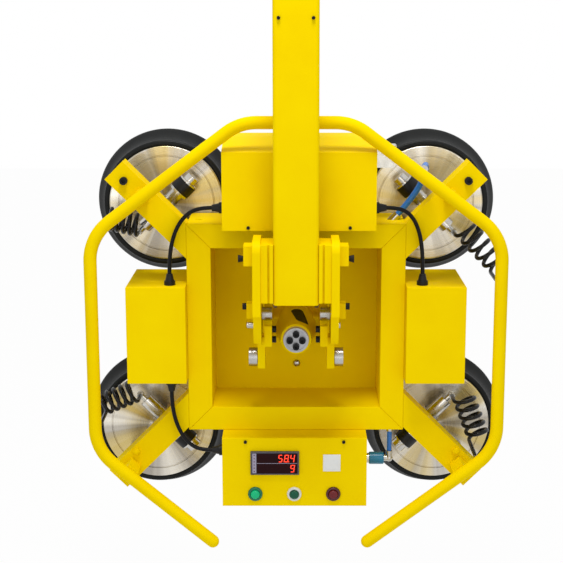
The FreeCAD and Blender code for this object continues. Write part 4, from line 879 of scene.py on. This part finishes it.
def stroke_box(stroke):
    """Low and high corners of one stroke, across and up from the digit's centre."""
    side = DIGIT_WIDE / 2 - STROKE_THICK
    half = DIGIT_HIGH / 2
    slim = STROKE_THICK / 2
    if stroke in "adg":
        level = {"a": half - slim, "d": slim - half, "g": 0.0}[stroke]
        return (-side + STROKE_GAP, level - slim), (side - STROKE_GAP, level + slim)
    left, right = (-DIGIT_WIDE / 2, -side) if stroke in "ef" else (side, DIGIT_WIDE / 2)
    low, high = (STROKE_GAP, half - STROKE_GAP) if stroke in "bf" else (STROKE_GAP - half, -STROKE_GAP)
    return (left, low), (right, high)


def lit_row(text, right, level):
    """One row of slanted lit figures that ends at the right, on the meter's screen."""
    bm = bmesh.new()
    point = DIGIT_WIDE / 2 + POINT_GAP
    foot = -DIGIT_HIGH / 2
    place = right - DIGIT_WIDE / 2
    for mark in reversed(text):
        if mark == ".":
            boxes = [((point, foot), (point + STROKE_THICK, foot + STROKE_THICK))]
        else:
            boxes = [stroke_box(stroke) for stroke in STROKES[mark]]
        for low, top in boxes:
            bar(bm, at(place + low[0], SCREEN_Y - STROKE_PROUD, level + low[1]),
                at(place + top[0], SCREEN_Y + STROKE_SUNK, level + top[1]), FINE_EDGE, 1)
        if mark != ".":
            place -= DIGIT_PITCH
    middle = at(0, 0, level).z
    slant = Matrix(((1, 0, DIGIT_SLANT, 0), (0, 1, 0, 0), (0, 0, 1, 0), (0, 0, 0, 1)))
    moved = Matrix.Translation((0, 0, middle)) @ slant @ Matrix.Translation((0, 0, -middle))
    bmesh.ops.transform(bm, matrix=moved, verts=bm.verts)
    return bm


class LIFTER_OT_control_face(Operator):
    """Meter screen with lit digits and the bare white plate"""
    bl_idname = "lifter.control_face"
    bl_label = "Control face"

    def execute(self, context):
        left, right = METER_X - METER_HALF_WIDE, METER_X + METER_HALF_WIDE
        low, high = METER_Z - METER_HALF_HIGH, METER_Z + METER_HALF_HIGH
        strip = left + STRIP_WIDE
        screen = strip + STRIP_GAP
        back = SCREEN_Y + SCREEN_THICK
        bm = bmesh.new()
        bar(bm, at(screen, SCREEN_Y, METER_Z + RULE_GAP), at(right, back, high), SCREEN_EDGE)
        bar(bm, at(screen, SCREEN_Y, low), at(right, back, METER_Z - RULE_GAP), SCREEN_EDGE)
        settled(bm, "meter_screen", "pad_frame", "screen_glass")
        bm = bmesh.new()
        bar(bm, at(left, SCREEN_Y, low), at(strip, back, high), SCREEN_EDGE)
        bar(bm, at(screen, SCREEN_Y, METER_Z - RULE_HALF), at(right, back, METER_Z + RULE_HALF),
            FINE_EDGE, 1)
        settled(bm, "meter_strip", "pad_frame", "strip_lilac")
        lamps = bmesh.new()
        for i in range(METER_LAMPS):
            level = high - METER_LAMP_INSET - METER_LAMP_PITCH * i
            dot = lathe(METER_LAMP_PROFILE, at(left + METER_LAMP_INSET, 0, level), steps=16)
            mesh = bpy.data.meshes.new("dot")
            dot.to_mesh(mesh)
            dot.free()
            lamps.from_mesh(mesh)
            bpy.data.meshes.remove(mesh)
        settled(lamps, "meter_lamps", "pad_frame", "ring_red")
        for text, (row, rise) in zip(sizes().readings.split(), DIGIT_ROWS.items()):
            settled(lit_row(text, right - DIGITS_INSET, METER_Z + rise), "digits_" + row,
                    "pad_frame", "digit_red")
        bm = bmesh.new()
        bar(bm, at(*BARE_PLATE_LOW), at(*BARE_PLATE_HIGH), BARE_PLATE_EDGE)
        settled(bm, "bare_plate", "pad_frame", "plate_white")
        return {"FINISHED"}


# Name, place across the panel, finishes of ring and cap, slot
BUTTONS = (
    ("green", -81.0, "ring_green", "button_green", "button_green"),
    ("white", -3.5, "button_white", "lens_dark_green", "button_white"),
    ("red", 74.0, "ring_red", "button_red", "button_red"),
)


class LIFTER_OT_push_buttons(Operator):
    """Coloured rings and domed caps of the three push buttons"""
    bl_idname = "lifter.push_buttons"
    bl_label = "Push buttons"

    def execute(self, context):
        for name, across, ring, cap, slot in BUTTONS:
            centre = at(across, PANEL_Y, BUTTON_Z)
            bm = lathe(BUTTON_RING_PROFILE, centre, BUTTON_STEPS, closed=True)
            settled(bm, "ring_" + name, "pad_frame", ring, ("button_bezels",), smooth=50.0)
            bm = lathe(BUTTON_CAP_PROFILE, centre, BUTTON_STEPS)
            settled(bm, "cap_" + name, "button_" + name, cap, ("button_" + name,), smooth=60.0)
        return {"FINISHED"}


def wrapped(centre, axis, radius, low, high, thick, reach):
    """A band wrapped round a rod, from low to high along its axis, reaching both ways from the front."""
    bm = bmesh.new()
    first = Matrix.Rotation(-reach, 3, axis) @ AHEAD
    corners = ((radius, low), (radius + thick, low), (radius + thick, high), (radius, high))
    verts = [bm.verts.new(centre + first * r + axis * t) for r, t in corners]
    face = bm.faces.new(verts)
    bmesh.ops.spin(bm, geom=[face], cent=centre, axis=axis, angle=2 * reach, steps=28)
    bmesh.ops.remove_doubles(bm, verts=bm.verts, dist=SAME_PLACE)
    return bm


class LIFTER_OT_labels(Operator):
    """Bare black labels wrapped round the slide sleeves of the valves"""
    bl_idname = "lifter.labels"
    bl_label = "Bare labels"

    def execute(self, context):
        sized = sizes()
        low = sized.label_from
        high = low + sized.label_high
        for name, side, level in PADS:
            axis = -pad_axes(side, level)[2]
            bm = wrapped(valve_middle(side, level), axis, SLEEVE_R * MM, low, high, sized.label_thick,
                         sized.label_reach)
            settled(bm, "label_" + name, "valve_sleeve_" + name, "label_black")
        return {"FINISHED"}


def slot_shade_sheet():
    """A black sheet set into the slot on top of the hub, curved as the hub is; it is painted shade standing for
    the dark inside of the slot.
    """
    bm = bmesh.new()
    half = SLOT_WIDTH / 2
    bmesh.ops.create_circle(bm, cap_ends=True, segments=48, radius=half - SLOT_CLEAR)
    rear = [v for v in bm.verts if v.co.y > 0]
    bmesh.ops.translate(bm, vec=(0, SLOT_LENGTH - SLOT_WIDTH, 0), verts=rear)
    bmesh.ops.rotate(bm, cent=(0, 0, 0), matrix=Matrix.Rotation(SLOT_TURN, 3, "Z"), verts=bm.verts)
    bmesh.ops.translate(bm, vec=(SLOT_SHIFT, SLOT_FROM, 0), verts=bm.verts)
    cuts = [((SLOT_SHIFT / 2 + SLOT_CUT_ACROSS * i, 0, 0), RIGHT) for i in range(-3, 4)]
    cuts += [((0, SLOT_FROM - half + SLOT_CUT_ALONG * i, 0), AWAY) for i in range(1, 12)]
    for place, normal in cuts:
        everything = bm.verts[:] + bm.edges[:] + bm.faces[:]
        bmesh.ops.bisect_plane(bm, geom=everything, plane_co=place, plane_no=normal)
    made = bmesh.ops.extrude_face_region(bm, geom=bm.faces[:])["geom"]
    inner = {v for v in made if isinstance(v, bmesh.types.BMVert)}
    for vert in bm.verts:
        radius = HUB_FRONT_R + HUB_FLARE * min(1.0, (vert.co.y - HUB_FRONT) / -HUB_FRONT)
        depth = SLOT_DEEP if vert in inner else SLOT_SUNK
        vert.co.z = math.sqrt((radius - depth) ** 2 - vert.co.x ** 2)
        vert.co = at(*vert.co)
    return bm


class LIFTER_OT_fixings(Operator):
    """Painted nuts on the lower arms, the back plate's bolt and a black sheet of painted shade in the hub's slot
    """
    bl_idname = "lifter.fixings"
    bl_label = "Nuts, bolt and cover"

    def execute(self, context):
        for name, side, level in PADS[2:]:
            centre, along, across = pad_axes(side, level)
            place = centre + (along * NUT_ALONG_ARM + across * NUT_ACROSS_ARM) * MM
            bm = lathe(WASHER_PROFILE, place, steps=40)
            settled(bm, "washer_" + name, "pad_frame", "yellow_paint")
            bm = lathe(NUT_PROFILE, place, steps=6)
            settled(bm, "nut_" + name, "pad_frame", "yellow_paint")
        bm = lathe(PLATE_BOLT_PROFILE, at(*PLATE_BOLT_AT), steps=48)
        settled(bm, "plate_bolt", "pad_frame", "bright_steel", smooth=60.0)
        # Painted shade: a black sheet fills the hub's slot where only its dark inside would show
        settled(slot_shade_sheet(), "hub_slot_painted_shade", "tilt_head", "black_rubber", smooth=60.0)
        return {"FINISHED"}


# Stage


def soft_lamp(name, place, target, size, power):
    lamp = bpy.data.lights.new(name, "AREA")
    lamp.shape = "SQUARE"
    lamp.size = size
    lamp.energy = power
    holder = bpy.data.objects.new(name, lamp)
    holder.location = place
    holder.rotation_euler = (target - place).to_track_quat("-Z", "Y").to_euler()
    bpy.context.scene.collection.objects.link(holder)


def seen_rays(tree):
    """One where a ray comes from the camera, a mirror or glass, and zero for plain light."""
    path = tree.nodes.new("ShaderNodeLightPath")
    total = path.outputs["Is Camera Ray"]
    for other in ("Is Glossy Ray", "Is Transmission Ray"):
        add = tree.nodes.new("ShaderNodeMath")
        add.operation = "MAXIMUM"
        tree.links.new(total, add.inputs[0])
        tree.links.new(path.outputs[other], add.inputs[1])
        total = add.outputs[0]
    return total


def pale_world(scene):
    """A room that looks white and lights the lifter evenly."""
    world = bpy.data.worlds.new("white_room")
    scene.world = world
    world.use_nodes = True
    tree = world.node_tree
    back = tree.nodes["Background"]
    back.inputs["Color"].default_value = (1, 1, 1, 1)
    strength = spread(tree, seen_rays(tree), ROOM_LIGHT, ROOM_SEEN, 0.0, 1.0)
    tree.links.new(strength, back.inputs["Strength"])


def pale_floor():
    """A matte floor that looks nearly white."""
    mat = bpy.data.materials.new("pale_floor")
    mat.use_nodes = True
    tree = mat.node_tree
    tree.nodes.clear()
    out = tree.nodes.new("ShaderNodeOutputMaterial")
    matte = tree.nodes.new("ShaderNodeBsdfDiffuse")
    matte.inputs["Color"].default_value = (FLOOR_GREY, FLOOR_GREY, FLOOR_GREY, 1)
    glow = tree.nodes.new("ShaderNodeEmission")
    glow.inputs["Color"].default_value = (1, 1, 1, 1)
    mix = tree.nodes.new("ShaderNodeMixShader")
    tree.links.new(spread(tree, seen_rays(tree), 0.0, FLOOR_GLOW, 0.0, 1.0), mix.inputs["Fac"])
    tree.links.new(matte.outputs["BSDF"], mix.inputs[1])
    tree.links.new(glow.outputs["Emission"], mix.inputs[2])
    tree.links.new(mix.outputs["Shader"], out.inputs["Surface"])
    return mat


class LIFTER_OT_stage(Operator):
    """Camera, soft lights, pale floor and white surroundings"""
    bl_idname = "lifter.stage"
    bl_label = "Stage"

    def execute(self, context):
        sized = sizes()
        scene = context.scene
        scene.view_settings.view_transform = "Standard"
        camera_data = bpy.data.cameras.new("camera")
        camera_data.lens = sized.lens
        camera_data.sensor_width = 36.0
        camera_data.shift_x = sized.camera_shift
        camera_data.clip_start = 0.05
        camera_data.clip_end = 60.0
        camera = bpy.data.objects.new("camera", camera_data)
        camera.location = HUB + Vector((0, -sized.camera_back, sized.camera_rise))
        camera.rotation_euler = (math.pi / 2 - sized.camera_pitch, 0, 0)
        scene.collection.objects.link(camera)
        scene.camera = camera
        pale_world(scene)
        bm = bmesh.new()
        bmesh.ops.create_grid(bm, x_segments=8, y_segments=8, size=FLOOR_HALF)
        bmesh.ops.translate(bm, vec=(0, 0, CAD_BOX[0][2] - FLOOR_DROP), verts=bm.verts)
        mesh = bpy.data.meshes.new("floor")
        bm.to_mesh(mesh)
        bm.free()
        mesh.materials.append(pale_floor())
        floor = bpy.data.objects.new("floor", mesh)
        scene.collection.objects.link(floor)
        x, y, z = SIDE_LAMP_AT
        for name, side in (("left", -1), ("right", 1)):
            soft_lamp("lamp_" + name, at(side * x, y, z), at(*SIDE_LAMP_AIM), SIDE_LAMP_SIZE,
                      sized.side_power)
        soft_lamp("lamp_top", at(*TOP_LAMP_AT), at(*TOP_LAMP_AIM), TOP_LAMP_SIZE, sized.top_power)
        return {"FINISHED"}


class LIFTER_PT_sidebar(Panel):
    """Lists the lifter's builders and sizes"""
    bl_idname = "LIFTER_PT_sidebar"
    bl_label = "Glass panel lifter"
    bl_space_type = "VIEW_3D"
    bl_region_type = "UI"
    bl_category = "Lifter"

    def draw(self, context):
        for builder in BUILDERS:
            self.layout.operator(builder.bl_idname)
        for group in (context.scene.lifter_sizes, context.scene.lifter_colours):
            for name in group.bl_rna.properties.keys():
                if name not in ("rna_type", "name"):
                    self.layout.prop(group, name)


BUILDERS = (
    LIFTER_OT_kept_solids,
    LIFTER_OT_painted_steel,
    LIFTER_OT_pads,
    LIFTER_OT_coil_hoses,
    LIFTER_OT_leads,
    LIFTER_OT_control_face,
    LIFTER_OT_push_buttons,
    LIFTER_OT_labels,
    LIFTER_OT_fixings,
    LIFTER_OT_stage,
)
CLASSES = (LifterColours, LifterSizes, *BUILDERS, LIFTER_PT_sidebar)


def register():
    for cls in CLASSES:
        bpy.utils.register_class(cls)
    bpy.types.Scene.lifter_colours = PointerProperty(type=LifterColours)
    bpy.types.Scene.lifter_sizes = PointerProperty(type=LifterSizes)


def unregister():
    del bpy.types.Scene.lifter_sizes
    del bpy.types.Scene.lifter_colours
    for cls in reversed(CLASSES):
        bpy.utils.unregister_class(cls)


def main():
    register()
    finishes()
    for builder in BUILDERS:
        group, name = builder.bl_idname.split(".")
        getattr(getattr(bpy.ops, group), name)()


if __name__ == "__main__":
    main()
